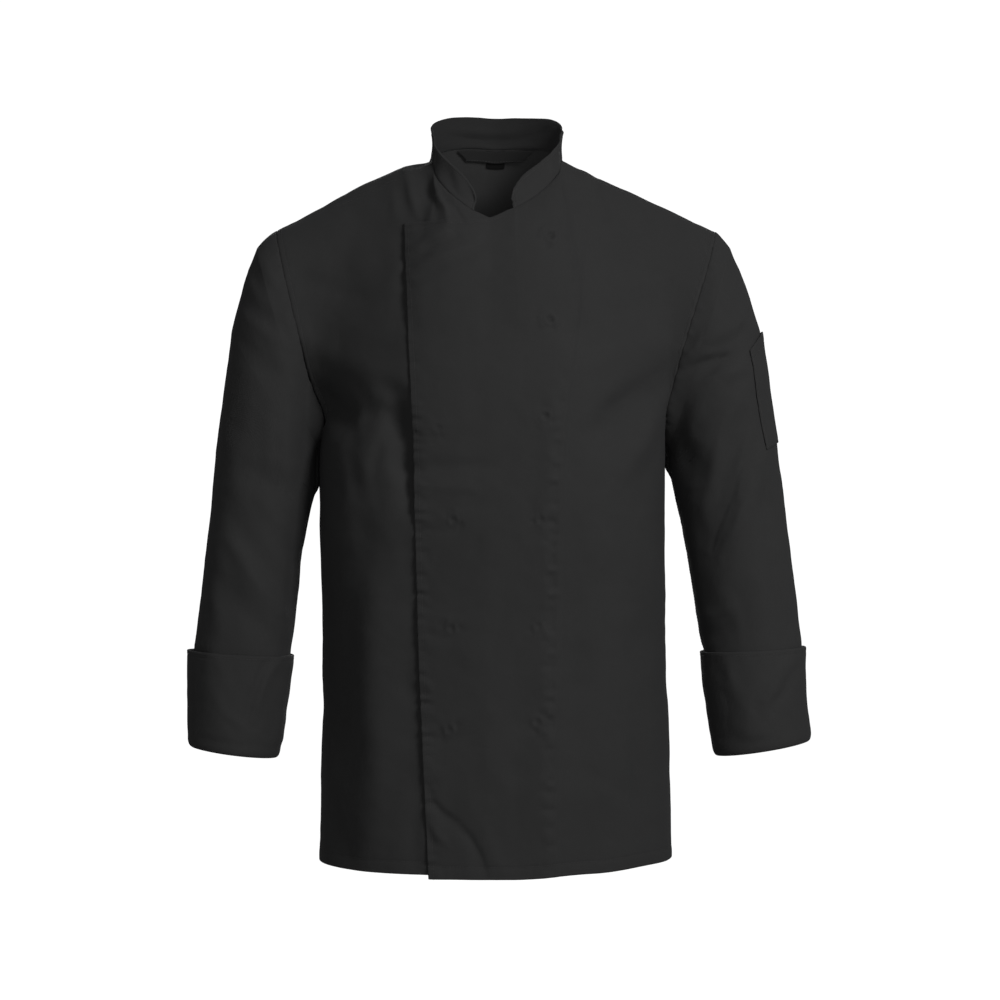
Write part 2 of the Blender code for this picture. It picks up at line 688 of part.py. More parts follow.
def lifted(points, side):
    """How far a front stands off the surface that both fronts share, where they cross."""
    x, z = points[..., 0], points[..., 2]
    below_neck = smooth_step(((-0.050 if side > 0 else -0.030) - z) / 0.018)
    if side > 0:
        beyond = (x - edge_x("under", z) - 0.004) / 0.016
        lift = (CLOTH + LAYER) * (1 - smooth_step(beyond))
        near_edge = 1 - smooth_step((x - edge_x("over", z)) / 0.045)
        return (lift + 0.0011 * near_edge) * below_neck
    inside = smooth_step((x - edge_x("over", z) - 0.004) / 0.016)
    crossed = smooth_step((x - CENTRE_X + 0.01) / 0.02)
    return (-0.0012 * inside - 0.0010 * crossed) * below_neck


def own_half(side):
    return torso_points(side, -1, side_columns()[None, :], levels()[:, None])


def front_grid(side):
    """One front without its folds: its own half, then the part that crosses the middle."""
    own, other = own_half(side), own_half(-side)
    middle = own[:, -1]
    share = np.linspace(0, 1, OVERLAP_COLUMNS + 1)[1:]
    hem, neck = middle[0, 2], middle[-1, 2]
    rise = ((middle[:, 2] - hem) / (neck - hem))[:, None]
    top = neck - OVER_TOP_DROP * share[None, :] ** 0.8
    z = hem + rise * (top - hem)
    edge = edge_x("over" if side > 0 else "under", z)
    x = CENTRE_X + (edge - CENTRE_X) * share[None, :]
    return np.concatenate([own, on_facets(other, x, z)], axis=1)


def shape_front(side, points, name):
    """Adds the folds, and lifts the wearer's left front over the other where they cross."""
    normals = grid_normals(points) * side
    height = fold_height(BODY_FOLDS, points) + lifted(points, side)
    points = points + normals * height[..., None]
    drop = HEM_DROP_OVER if side > 0 else 0.0
    hem = np.clip(1 - np.arange(len(points)) / 3.0, 0, 1)[:, None]
    points[..., 2] -= hem * drop * smooth_step((0.10 - points[..., 0]) / 0.08)
    points[..., 2] += hem * HEM_RISE_LEFT * smooth_step((points[..., 0] - 0.10) / 0.06)
    return Panel(name, points if side > 0 else points[:, ::-1])


def back_grid():
    """The back without its folds, from the wearer's right to the left."""
    share = np.linspace(0, 1, NECK_COLUMNS + 1)[1:]
    fractions = np.concatenate([np.linspace(0, 1, SHOULDER_COLUMNS + 1), 1 + share])
    right = torso_points(-1, 1, fractions[None, :], levels()[:, None])
    left = torso_points(1, 1, fractions[None, :], levels()[:, None])
    return np.concatenate([right, left[:, -2::-1]], axis=1)


def relax_back(points, left, right):
    """Evens out the upper back like a bent plate, between its edges and the two fronts, which stay."""
    rows, columns = points.shape[:2]
    first = BODY_ROWS + 2
    count = SHOULDER_COLUMNS + 1
    beyond = np.full((2, columns, 3), np.nan)
    for k in range(2):
        beyond[k, :count] = right[-2 - k, :count]
        beyond[k, -count:] = left[-2 - k, :count][::-1]
    free = np.zeros((rows, columns), bool)
    free[first : rows - 1, 1 : columns - 1] = True
    numbers = -np.ones((rows, columns), int)
    numbers[free] = np.arange(free.sum())
    total = int(free.sum())
    matrix, wanted = np.zeros((total, total)), np.zeros((total, 3))

    def spot(i, j):
        if i >= rows:
            return -1, beyond[i - rows, j]
        return numbers[i, j], points[i, j]

    def bend(cells, weight):
        parts = [spot(*cell) for cell in cells]
        if any(np.isnan(place).any() for _, place in parts):
            return
        factors = (1.0, -2.0, 1.0)
        for (n, _), a in zip(parts, factors):
            if n < 0:
                continue
            for (m, place), b in zip(parts, factors):
                if m >= 0:
                    matrix[n, m] += weight * a * b
                else:
                    wanted[n] -= weight * a * b * place

    for i in range(first - 1, rows + 1):
        for j in range(columns):
            bend(((i - 1, j), (i, j), (i + 1, j)), 1.0)
    for i in range(first, rows - 1):
        for j in range(1, columns - 1):
            bend(((i, j - 1), (i, j), (i, j + 1)), 1.0)
            near = min(np.linalg.norm(points[i, j] - neck_point(side)) for side in (-1, 1))
            hold = RELAX_HOLD * smooth_step((near - 0.02) / 0.10)
            n = numbers[i, j]
            matrix[n, n] += hold
            wanted[n] += hold * points[i, j]
    relaxed = points.copy()
    relaxed[free] = np.linalg.solve(matrix, wanted)
    return relaxed


def shape_back(points):
    normals = grid_normals(points)
    points = points + normals * fold_height(BODY_FOLDS, points)[..., None]
    hem = np.clip(1 - np.arange(len(points)) / 3.0, 0, 1)[:, None]
    points[..., 2] += hem * HEM_RISE_LEFT * smooth_step((points[..., 0] - 0.10) / 0.06)
    return Panel("back", points)


def weld_torso(front_left, front_right, back):
    """Puts the side and shoulder seams of neighbouring panels on exactly the same points."""
    for front, own, theirs in ((front_left, slice(None), -1), (front_right, slice(None), 0)):
        edge = 0 if front is front_left else -1
        mean = (front.points[:, edge] + back.points[:, theirs]) / 2
        below = BODY_ROWS + 1
        front.points[:below, edge] = mean[:below]
        back.points[:below, theirs] = mean[:below]
    count = SHOULDER_COLUMNS + 1
    pairs = (
        (front_left.points[-1, :count], back.points[-1, ::-1][:count]),
        (front_right.points[-1, ::-1][:count], back.points[-1, :count]),
    )
    for ours, theirs in pairs:
        mean = (ours + theirs) / 2
        ours[:] = mean
        theirs[:] = mean


def armhole_ring(side, front, back):
    """The armhole's points: from the shoulder down the front, under the arm and up the back."""
    rows = slice(BODY_ROWS, None)
    if side > 0:
        in_front, behind = front.points[rows, 0], back.points[rows, -1]
    else:
        in_front, behind = front.points[rows, -1], back.points[rows, 0]
    return np.concatenate([in_front[::-1], behind[1:-1]])


def ring_in_plane(row, turns):
    """An oval sleeve section: turn 0 at the outer line, a quarter at the front, a half at the inner line."""
    outer_x, outer_z, inner_x, inner_z, mid_y, depth = row
    angle = turns * 2 * math.pi
    middle = np.array([(outer_x + inner_x) / 2, mid_y, (outer_z + inner_z) / 2])
    reach = np.array([(outer_x - inner_x) / 2, 0.0, (outer_z - inner_z) / 2])
    ring = middle + np.cos(angle)[:, None] * reach
    ring[:, 1] -= depth * np.sin(angle)
    return ring


def sleeve_grid(side, ring, rings):
    """Sleeve points: the armhole first, then the table's sections, as a smooth tube."""
    table = np.array(SLEEVE_LEFT if side > 0 else SLEEVE_RIGHT, float)
    turns = np.arange(len(ring)) / len(ring)
    sections = np.stack([ring] + [ring_in_plane(row, turns) for row in table])
    middles = (table[:, [0, 1]] + table[:, [2, 3]]) / 2
    start = np.array([[SHOULDER_X + abs(underarm_point(side)[0]), SHOULDER_Z + UNDERARM_Z]]) / 2
    start[0, 0] *= side
    line = np.concatenate([start, middles])
    keys = np.concatenate([[0], np.cumsum(np.linalg.norm(np.diff(line, axis=0), axis=1))])
    places = np.linspace(0, 1, rings + 1) ** 1.3 * keys[-1]
    return curve_through(keys, sections, places)


def sleeve_surface(side, ring):
    """Points of a sleeve with its folds, and its outward normals."""
    points = sleeve_grid(side, ring, SLEEVE_RINGS)
    normals = tube_normals(points)
    folds = LEFT_SLEEVE_FOLDS if side > 0 else RIGHT_SLEEVE_FOLDS
    ease = smooth_step(np.arange(len(points)) / 3.0)[:, None]
    points = points + normals * (fold_height(folds, points) * ease)[..., None]
    return points, tube_normals(points)


def tube_normals(points):
    """Outward normals of a tube's rings."""
    across = np.roll(points, -1, axis=1) - np.roll(points, 1, axis=1)
    along = np.gradient(points, axis=0)
    normals = unit(np.cross(across, along))
    outward = points - points.mean(axis=1, keepdims=True)
    flip = np.sign((normals * outward).sum(axis=-1).mean())
    return normals * flip


def oriented_tube(name, points, cloth, material="twill"):
    """A tube as a panel whose faces point out."""
    normals = grid_normals(points, closed=True)
    outward = points - points.mean(axis=1, keepdims=True)
    if (normals * outward).sum(axis=-1).mean() < 0:
        points = points[:, ::-1]
    return Panel(name, points, cloth, closed=True, material=material)


def on_grid(values, row, column, closed=False):
    """Values between the points of a grid, at rows and columns that needn't be whole."""
    row, column = np.broadcast_arrays(np.asarray(row, float), np.asarray(column, float))
    count = values.shape[1]
    i = np.clip(np.floor(row).astype(int), 0, values.shape[0] - 2)
    j = np.floor(column).astype(int)
    if not closed:
        j = np.clip(j, 0, count - 2)
    u, v = (row - i)[..., None], (column - j)[..., None]
    a, b = j % count, (j + 1) % count
    low = values[i, a] * (1 - v) + values[i, b] * v
    high = values[i + 1, a] * (1 - v) + values[i + 1, b] * v
    return low * (1 - u) + high * u


def cuff_panel(side, points, normals):
    """A turned-back cuff, from its loose edge down the outside, round the fold and up inside the sleeve."""
    count = points.shape[1]
    columns = np.arange(count)[None, :]
    steps = np.linalg.norm(np.diff(points, axis=0), axis=2).mean(axis=1)
    from_end = np.concatenate([np.cumsum(steps[::-1])[::-1], [0.0]])
    index = np.arange(len(points))
    outer_line = np.clip(np.cos(columns / count * 2 * math.pi), 0, 1) ** 2
    stand = CUFF_OUT + ((CUFF_OUT_LEFT if side > 0 else CUFF_OUT_RIGHT) - CUFF_OUT) * outer_line
    inside = CLOTH + LAYER + CUFF_CLOTH
    rows = []
    for along in np.linspace(CUFF_UP, 0, CUFF_RINGS + 1):
        row = np.interp(-along, -from_end, index)
        reach = stand + CUFF_FLARE * along / CUFF_UP
        rows.append(on_grid(points, row, columns, True) + on_grid(normals, row, columns, True) * reach[..., None])
    end, out = points[-1:], unit(normals[-1:])
    down = unit((points[-1] - points[-2]).mean(axis=0))
    for angle in (math.pi / 4, math.pi / 2, 3 * math.pi / 4):
        across = (stand - inside) / 2 + (stand + inside) / 2 * math.cos(angle)
        rows.append(end + out * across[..., None] + down * CUFF_FOLD * math.sin(angle))
    for along in (0.0, CUFF_INSIDE):
        row = np.interp(-along, -from_end, index)
        rows.append(on_grid(points, row, columns, True) - on_grid(normals, row, columns, True) * inside)
    grid = np.concatenate(rows, axis=0)
    name = "cuff_left" if side > 0 else "cuff_right"
    panel = Panel(name, grid, CUFF_CLOTH, closed=True)
    first = grid[0] - grid[0].mean(axis=0)
    if (panel.normals[0] * first).sum() < 0:
        panel = Panel(name, grid[:, ::-1], CUFF_CLOTH, closed=True)
    return panel


def pocket_panel(points, normals):
    """The pen pocket on the wearer's left sleeve, from the sleeve's own points moved out."""
    count = points.shape[1]
    outer_z = points[:, 0, 2]
    top, bottom = (np.interp(-z, -outer_z, np.arange(len(points))) for z in (POCKET_TOP_Z, POCKET_BOTTOM_Z))
    rows = np.unique(np.concatenate([[top], np.arange(math.ceil(top), math.floor(bottom) + 1), [bottom]]))
    front, rear = POCKET_FRONT_TURN * count, POCKET_BACK_TURN * count
    columns = np.unique(np.concatenate([[rear], np.arange(math.ceil(rear), math.floor(front) + 1), [front]]))
    down = ((rows - top) / (bottom - top))[:, None]
    across = ((columns - rear) / (front - rear))[None, :]
    gape = POCKET_GAPE * (1 - down) ** 2 * np.sin(math.pi * across)
    out = LAYER + POCKET_CLOTH + gape
    where = (rows[:, None], columns[None, :])
    grid = on_grid(points, *where, True) + on_grid(normals, *where, True) * out[..., None]
    panel = Panel("sleeve_pocket", grid, POCKET_CLOTH)
    if (panel.normals * on_grid(normals, *where, True)).sum() < 0:
        panel = Panel("sleeve_pocket", grid[:, ::-1], POCKET_CLOTH)
    return panel


def collar_panel(front_left, front_right, back):
    """The stand collar, on the points of the neckline."""
    first = SHOULDER_COLUMNS
    last = first + NECK_COLUMNS
    left = front_left.points[-1, first : last + 1]
    right = front_right.points[-1, ::-1][first : last + 1]
    behind = back.points[-1, first : back.points.shape[1] - first]
    base = np.concatenate([right[::-1], behind[1:-1], left])
    length = np.concatenate([[0], np.cumsum(np.linalg.norm(np.diff(right[::-1], axis=0), axis=1))])
    front_place = length / length[-1]
    back_place = np.linspace(1, 3, len(behind))[1:-1]
    place = np.concatenate([front_place, back_place, (4 - front_place[::-1])])
    mirrored = np.where(place > 2, 4 - place, place)
    keys = column(COLLAR, COLLAR_COLUMNS, "place")
    height = curve_through(keys, column(COLLAR, COLLAR_COLUMNS, "height"), mirrored)
    lean = curve_through(keys, column(COLLAR, COLLAR_COLUMNS, "lean"), mirrored)[:, None]
    sweep = curve_through(keys, column(COLLAR, COLLAR_COLUMNS, "sweep"), mirrored)[:, None]
    along = np.concatenate([[0], np.cumsum(np.linalg.norm(np.diff(base, axis=0), axis=1))])
    from_end = np.minimum(along, along[-1] - along)
    corner = np.sqrt(1 - (1 - np.clip(from_end / COLLAR_CORNER, 0, 1)) ** 2)
    height = COLLAR_END_HEIGHT + (height - COLLAR_END_HEIGHT) * corner
    way = np.gradient(base, along, axis=0)
    way[:, 2] = 0
    way = unit(way)
    inward = np.stack([-way[:, 1], way[:, 0], np.zeros(len(way))], axis=1)
    centre = base.mean(axis=0)
    if ((centre - base) * inward).sum() < 0:
        inward = -inward
    rise = np.linspace(0, 1, COLLAR_ROWS + 1)[:, None, None]
    way_up = unit(np.array([0.0, 0.0, 1.0]) + lean * inward + sweep * np.array([0.0, 1.0, 0.0]))
    grid = base + rise * way_up * height[:, None]
    belly = np.sin(math.pi * rise[..., 0]) * 0.0015
    grid = grid - inward * belly[..., None]
    return Panel("collar", grid, COLLAR_CLOTH)


def inside_neck(back, half_top, half_bottom, start, height, away, name):
    """A tape on the inside of the back neck, from the back's own points moved in."""
    points, normals = back.points, grid_normals(back.points)
    last = len(points) - 1
    middle = points.shape[1] // 2
    span = slice(middle - NECK_COLUMNS + 1, middle + NECK_COLUMNS)
    index = np.arange(points.shape[1])[span]
    shares = np.linspace(0, 1, 7)
    rows = []
    for down in (0.0, 0.5, 1.0):
        half = half_top + (half_bottom - half_top) * down
        x = (CENTRE_X + NECK_X) / 2 + half * (2 * shares - 1)
        columns = np.interp(x, points[last, span, 0], index)
        cell = np.linalg.norm(points[last] - points[last - 1], axis=1)
        row = last - (start + height * down) / np.interp(columns, np.arange(len(cell)), cell)
        normal = unit(on_grid(normals, row, columns))
        rows.append(on_grid(points, row, columns) - normal * (CLOTH + away + TAPE))
    grid = np.array(rows)
    panel = Panel(name, grid, TAPE, material="tape")
    if (panel.normals * unit(on_grid(normals, row, columns))).sum() > 0:
        panel = Panel(name, grid[:, ::-1], TAPE, material="tape")
    return panel


def build():
    for thing in list(bpy.data.objects):
        bpy.data.objects.remove(thing)
    left_grid, right_grid = front_grid(1), front_grid(-1)
    back = shape_back(relax_back(back_grid(), left_grid, right_grid))
    front_left = shape_front(1, left_grid, "front_left")
    front_right = shape_front(-1, right_grid, "front_right")
    weld_torso(front_left, front_right, back)
    panels = [front_left, front_right, back, collar_panel(front_left, front_right, back)]
    sleeves = {}
    for side, front in ((1, front_left), (-1, front_right)):
        points, normals = sleeve_surface(side, armhole_ring(side, front, back))
        sleeves[side] = (points, normals)
        panels.append(oriented_tube("sleeve_left" if side > 0 else "sleeve_right", points, CLOTH))
    for panel in panels:
        panel.refresh()
    share_seams(panels)
    for side, (points, normals) in sleeves.items():
        panels.append(cuff_panel(side, points, normals))
    panels.append(pocket_panel(*sleeves[1]))
    over_label = LAYER + TAPE + LAYER
    panels.append(
        inside_neck(back, LOOP_TOP_HALF, LOOP_BOTTOM_HALF, LOOP_BELOW, LOOP_HEIGHT, over_label, "hanger_loop")
    )
    panels.append(inside_neck(back, LABEL_HALF, LABEL_HALF, LOOP_BELOW, LABEL_HEIGHT, LAYER, "size_label"))
    for panel in panels:
        make_wall(panel)


build()
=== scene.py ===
"""How the chef jacket looks: its cloth, seams, stitching and folds, the studio and the camera.

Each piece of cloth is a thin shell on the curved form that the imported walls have, with the folds,
puckers and sewn edges that the walls leave out. Metres, +Z up, the front faces -Y, and the wearer's
left is +X. Places in the picture are in its own units: 0 to 1000 across and down.
"""

import math
from functools import lru_cache

import bpy
import numpy as np
from bpy.props import FloatProperty, FloatVectorProperty, PointerProperty
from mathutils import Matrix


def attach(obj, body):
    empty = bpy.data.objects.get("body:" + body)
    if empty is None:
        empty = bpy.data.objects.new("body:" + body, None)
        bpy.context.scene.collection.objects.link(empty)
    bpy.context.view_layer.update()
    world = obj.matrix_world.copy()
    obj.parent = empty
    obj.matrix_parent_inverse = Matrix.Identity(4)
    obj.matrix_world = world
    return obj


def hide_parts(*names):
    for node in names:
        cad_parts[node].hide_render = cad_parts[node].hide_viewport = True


bl_info = {
    "name": "Chef Jacket",
    "version": (1, 0, 0),
    "blender": (4, 5, 0),
    "location": "3D Viewport > Sidebar > Jacket",
    "description": "Makes a worn chef jacket of thin sewn cloth, piece by piece",
    "category": "Add Mesh",
}

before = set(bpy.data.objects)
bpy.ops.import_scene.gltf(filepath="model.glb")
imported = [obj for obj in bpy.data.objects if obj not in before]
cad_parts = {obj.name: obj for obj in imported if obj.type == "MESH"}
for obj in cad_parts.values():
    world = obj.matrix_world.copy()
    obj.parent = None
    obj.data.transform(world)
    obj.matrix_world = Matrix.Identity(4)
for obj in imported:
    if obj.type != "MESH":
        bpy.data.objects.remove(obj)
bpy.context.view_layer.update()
BODY = "root"

# Sides and faces of the jacket are told apart by their sign
SIDES = {-1: "right", 1: "left"}
FACES = {-1: "front", 1: "back"}

# Cloth
CLOTH = 0.0015  # one layer of twill with its facing
COLLAR_CLOTH = 0.0024  # two layers and an interlining
CUFF_CLOTH = 0.0020  # turned back double
POCKET_CLOTH = 0.0012
LAYER = 0.0005  # space between two layers that lie on each other

# Heights
HEM_Z = -0.742
UNDERARM_Z = -0.302
NECK_FRONT_Z = -0.074
CENTRE_X = -0.004  # the middle of the front and back
NECK_X = 0.0015  # the middle of the collar, which is turned a little

# Torso sections: width to the wearer's right and left, depth to the front and back, roundness of the
# corners, from 1 for an ellipse down to 0 for a box.
TORSO = (
    ("z", "right", "left", "front", "back", "corner"),
    (-0.742, 0.188, 0.186, 0.139, 0.134, 0.84),
    (-0.66, 0.187, 0.184, 0.137, 0.129, 0.86),
    (-0.56, 0.1855, 0.181, 0.135, 0.123, 0.87),
    (-0.46, 0.186, 0.179, 0.136, 0.121, 0.86),
    (-0.37, 0.187, 0.178, 0.141, 0.128, 0.85),
    (-0.302, 0.187, 0.179, 0.141, 0.134, 0.86),
)
SIDE_Y = 0.004  # the side seams

# Armhole: a leaning oval from the underarm to the shoulder point.
SHOULDER_X = 0.233
SHOULDER_Z = -0.079
ARMHOLE_DEPTH = {-1: 0.062, 1: 0.066}  # by face
SCOOP = {-1: 0.009, 1: 0.015}  # how far the armhole's front curves towards the chest, by side

# Neck: half its width, the ends of the shoulder seams on it, and the middles of front and back.
NECK_HALF = 0.0690
SEAM_ENDS = {-1: (-0.024, -0.010, 0.000), 1: (-0.006, -0.004, 0.004)}  # y, z and dip by side
NECK_FRONT_Y = -0.086
NECK_BACK_Y = 0.066
NECK_BACK_Z = 0.016
COLLAR_END = 0.0215  # from the middle of the front to each end of the collar
NECK_SHARE = 0.63  # the column that ends at the neck point crosses each quarter section here

# Which way the cloth runs where it reaches the upper edge: y, z and strength, by face, at these places
TOP_PLACES = (0, 0.5, 1, 2)
TOP_WAYS = {
    -1: ((0.95, 0.15, 0.60), (0.85, 0.53, 0.62), (0.87, 0.49, 0.62), (0.50, 0.866, 0.95)),
    1: ((-0.95, -0.15, 0.80), (-0.85, -0.53, 1.05), (-0.87, -0.49, 1.05), (-0.45, 0.893, 1.00)),
}

# Front edges: how far each front crosses the middle, to the wearer's right or left.
EDGE = (
    ("z", "over", "under"),
    (-0.745, -0.0674, 0.057),
    (-0.525, -0.0775, 0.058),
    (-0.322, -0.0831, 0.064),
    (-0.16, -0.0899, 0.08),
    (-0.07, -0.0945, 0.089),
)
HEM_DROP_OVER = 0.004  # the overlap hangs this much lower
HEM_RISE_LEFT = 0.0035  # the hem is this much higher at the wearer's left side
RELAX_HOLD = 0.05  # how firmly the upper back keeps its first shape while it is evened out
RELAX_FREE = (0.02, 0.10)  # how near a neck point it keeps nothing, and in how much further it keeps all
OVER_TOP_DROP = 0.004  # the top edge of the overlap falls this much towards its corner
LIFT_TOP = {-1: -0.030, 1: -0.050}  # below this height each front leaves the surface that both share
LIFT_FADE = 0.018  # the height over which they part
OVER_SETTLES = (0.002, 0.007)  # how far past the under front's edge the overlap sinks, in how much
UNDER_DROP = (0.0012, 0.0010)  # how far the under front lies in: past the other's edge, past the middle

# Collar: a band that stands on the neckline, from its ends, at place 0, round to the middle of the
# back, at 2. A lean above 0 is outwards and a sweep above 0 is backwards.
COLLAR = (
    ("place", "height", "lean", "sweep"),
    (0, 0.034, 0.1, 0.55),
    (0.5, 0.037, 0.1, 0.5),
    (1, 0.034, 0.06, 0.42),
    (1.4, 0.0336, 0.14, 0.1),
    (1.7, 0.033, 0.17, 0.04),
    (2, 0.034, 0.2, 0),
)
COLLAR_END_HEIGHT = 0.015
COLLAR_CORNER = 0.020

# Sleeves, in mm: x and z of the outer line and of the inner one, seen from the front, then for both
# sleeves the middle of each section from front to back, and half its depth.
SLEEVE = {
    -1: (
        (-253, -97, -189, -308.5),
        (-263.5, -119, -189, -314),
        (-272.5, -150, -189, -320.5),
        (-280.4, -186, -189, -329),
        (-285.3, -226, -189.1, -340),
        (-289.2, -268, -190, -354),
        (-295.6, -311, -193.3, -371),
        (-299.6, -353, -197.7, -392),
        (-302.5, -395, -202.4, -418),
        (-308.3, -437.5, -206, -450),
        (-312.8, -479, -210.2, -485.5),
        (-317, -515, -213.7, -520),
        (-317.5, -550, -219.5, -560),
        (-317.2, -585, -225, -598),
        (-317, -610, -228.5, -622),
    ),
    1: (
        (247, -97, 181.5, -308.5),
        (257.5, -119, 182, -314),
        (269, -150, 182, -321),
        (278.7, -186, 182.1, -329),
        (285, -226, 183.3, -339),
        (291.7, -268, 186.2, -351),
        (297.5, -311, 190.2, -367),
        (303, -353, 195, -388),
        (307.2, -395, 200.2, -415),
        (312.6, -437.5, 205.8, -448),
        (317.6, -479, 211, -483),
        (321.2, -515, 217, -520),
        (321.8, -550, 220.7, -560),
        (324, -582, 225.8, -598),
        (325.8, -604, 229, -620),
    ),
}
SLEEVE_DEPTHS = (
    (2, 65.5), (2, 67), (1, 68), (0, 68.5), (-1, 68), (-2, 66.5), (-4, 64), (-6, 61.5),
    (-9, 59), (-13, 57), (-18, 55), (-23, 53), (-28, 51), (-32, 49), (-35, 47.5),
)

# Cuffs, turned back over the sleeve's end: how far the loose edge is from the end along the sleeve, how
# far each stands off the sleeve at the outer line and elsewhere, and the hidden part inside.
CUFF_UP = 0.093
CUFF_OUTER_LINE = {-1: 0.0064, 1: 0.0036}
CUFF_OUT = 0.0030
CUFF_FLARE = 0.0012  # what the loose edge stands off further
CUFF_INSIDE = 0.013
CUFF_FOLD = 0.0105  # how far the fold hangs below the sleeve's end
CUFF_DEEPEST = 0.0012  # no crease goes further in than this, so that the sleeve stays below

# Pen pocket on the wearer's left upper sleeve: its heights, and its two sides in turns round the sleeve
POCKET_TOP_Z = -0.186
POCKET_BOTTOM_Z = -0.302
POCKET_FRONT_TURN = 0.128
POCKET_BACK_TURN = -0.060
POCKET_GAPE = 0.0012  # how far its mouth stands open

# Hanger loop and size label inside the back neck, with half their widths at the top and the bottom
LOOP_HALVES = (0.0435, 0.0335)
LOOP_HEIGHT = 0.0125
LOOP_STAND = 0.0012  # how far its lower edge stands off
LOOP_BELOW = 0.0015  # how far both start below the neckline
LABEL_HALVES = (0.0105, 0.0105)
LABEL_HEIGHT = 0.0200
TAPE = 0.0008

# Folds of the body and the sleeves, in mm: the face, a line from one x and z to another, half its width
# and how far the cloth stands out there, or in where that is negative.
BODY_FOLDS = (
    (-1, -186, -238, -120, -268, 26, -8),
    (-1, -104, -262, -84, -340, 17, -4.5),
    (-1, -164, -480, -162, -742, 20, -5),
    (-1, -124, -460, -120, -700, 20, 3.5),
    (-1, -140, -300, -105, -420, 18, 3),
    (-1, 172, -248, 105, -300, 21, -6.5),
    (-1, 166, -285, 120, -345, 13, 3.5),
    (-1, 128, -500, 138, -742, 28, 3),
    (-1, 88, -520, 92, -742, 20, -2.5),
    (1, -215, -70, -77, -2, 21, 11.5),
    (1, -160, -46, -76, -3, 15, 8.5),
    (1, 215, -70, 120, -30, 18, 2),
    (1, -150, -200, -90, -300, 24, -6),
    (1, 150, -205, 88, -310, 24, -6),
    (1, -105, -330, -70, -560, 20, 4.5),
    (1, 100, -350, 62, -580, 20, 4.5),
    (1, -10, -400, 4, -742, 26, 3.5),
    (1, -135, -520, -140, -742, 20, -4),
    (1, 138, -540, 134, -742, 20, -4),
    (1, -60, -600, -66, -742, 18, -3),
    (1, 70, -610, 74, -742, 18, -3),
)
SLEEVE_FOLDS = {
    -1: (
        (-1, -228, -200, -200, -262, 11, 4),
        (-1, -285, -392, -228, -480, 12, 3.5),
        (-1, -275, -452, -222, -520, 12, -3),
        (-1, -262, -330, -205, -360, 14, -3),
        (1, -240, -180, -200, -270, 14, -4),
        (1, -290, -380, -215, -440, 13, -3.5),
        (1, -300, -430, -220, -500, 13, 3.5),
    ),
    1: (
        (-1, 188, -250, 245, -212, 10, -4.5),
        (-1, 196, -228, 230, -180, 9, 3),
        (-1, 262, -260, 215, -420, 12, -3.5),
        (-1, 282, -300, 240, -440, 12, 3.5),
        (-1, 196, -300, 212, -350, 14, -5),
        (1, 240, -180, 200, -270, 14, -4),
        (1, 290, -380, 215, -440, 13, -3.5),
        (1, 300, -430, 225, -500, 13, 3.5),
    ),
}

# How many coarse rows and columns the forms have
BODY_ROWS = 12
ARM_ROWS = 12
SHOULDER_COLUMNS = 10
NECK_COLUMNS = 6
OVERLAP_COLUMNS = 5

# The camera, and the picture that it takes
CAMERA_PLACE = (0.004, -2.8, -0.3636)
PICTURE_SCALE = 0.00106  # metres across one unit of the picture, at y 0
SENSOR_MM = 36.0

# Where the fine rows and columns of the cloth run, as places between the coarse ones:
# from, to, how many steps, even in all. They are closest where the stitching and studs are.
BODY_ROW_RUNS = ((0, 0.45, 14), (0.45, 12, 180), (12, 23.6, 128), (23.6, 24, 8))
FRONT_COLUMN_RUNS = {
    -1: ((0, 0.6, 6), (0.6, 10, 54), (10, 16, 44), (16, 17, 6), (17, 22, 20)),
    1: ((0, 0.6, 6), (0.6, 10, 54), (10, 16, 70), (16, 17, 16), (17, 21.2, 58), (21.2, 22, 16)),
}
BACK_COLUMN_RUNS = ((0, 0.6, 6), (0.6, 10, 54), (10, 22, 56), (22, 31.4, 54), (31.4, 32, 6))
SLEEVE_RINGS = 200
CUFF_ROWS = 40  # down the outside
CUFF_FOLD_ROWS = 10
CUFF_INSIDE_ROWS = 6
COLLAR_ROWS = 22
POCKET_GRID = (57, 41)  # points down and across
TAPE_GRID = (13, 41)
TOP_ROW = BODY_ROWS + ARM_ROWS  # the coarse row at the shoulder and neck
BACK_COLUMNS = 2 * (SHOULDER_COLUMNS + NECK_COLUMNS)
SHELL = 0.0012  # how thick the thin cloth shells are
RIM_OUT = 0.4  # how far a shell's rounded rim stands out, as a share of its thickness
CUFF_SHELL = 0.0015
POCKET_SHELL = 0.0010

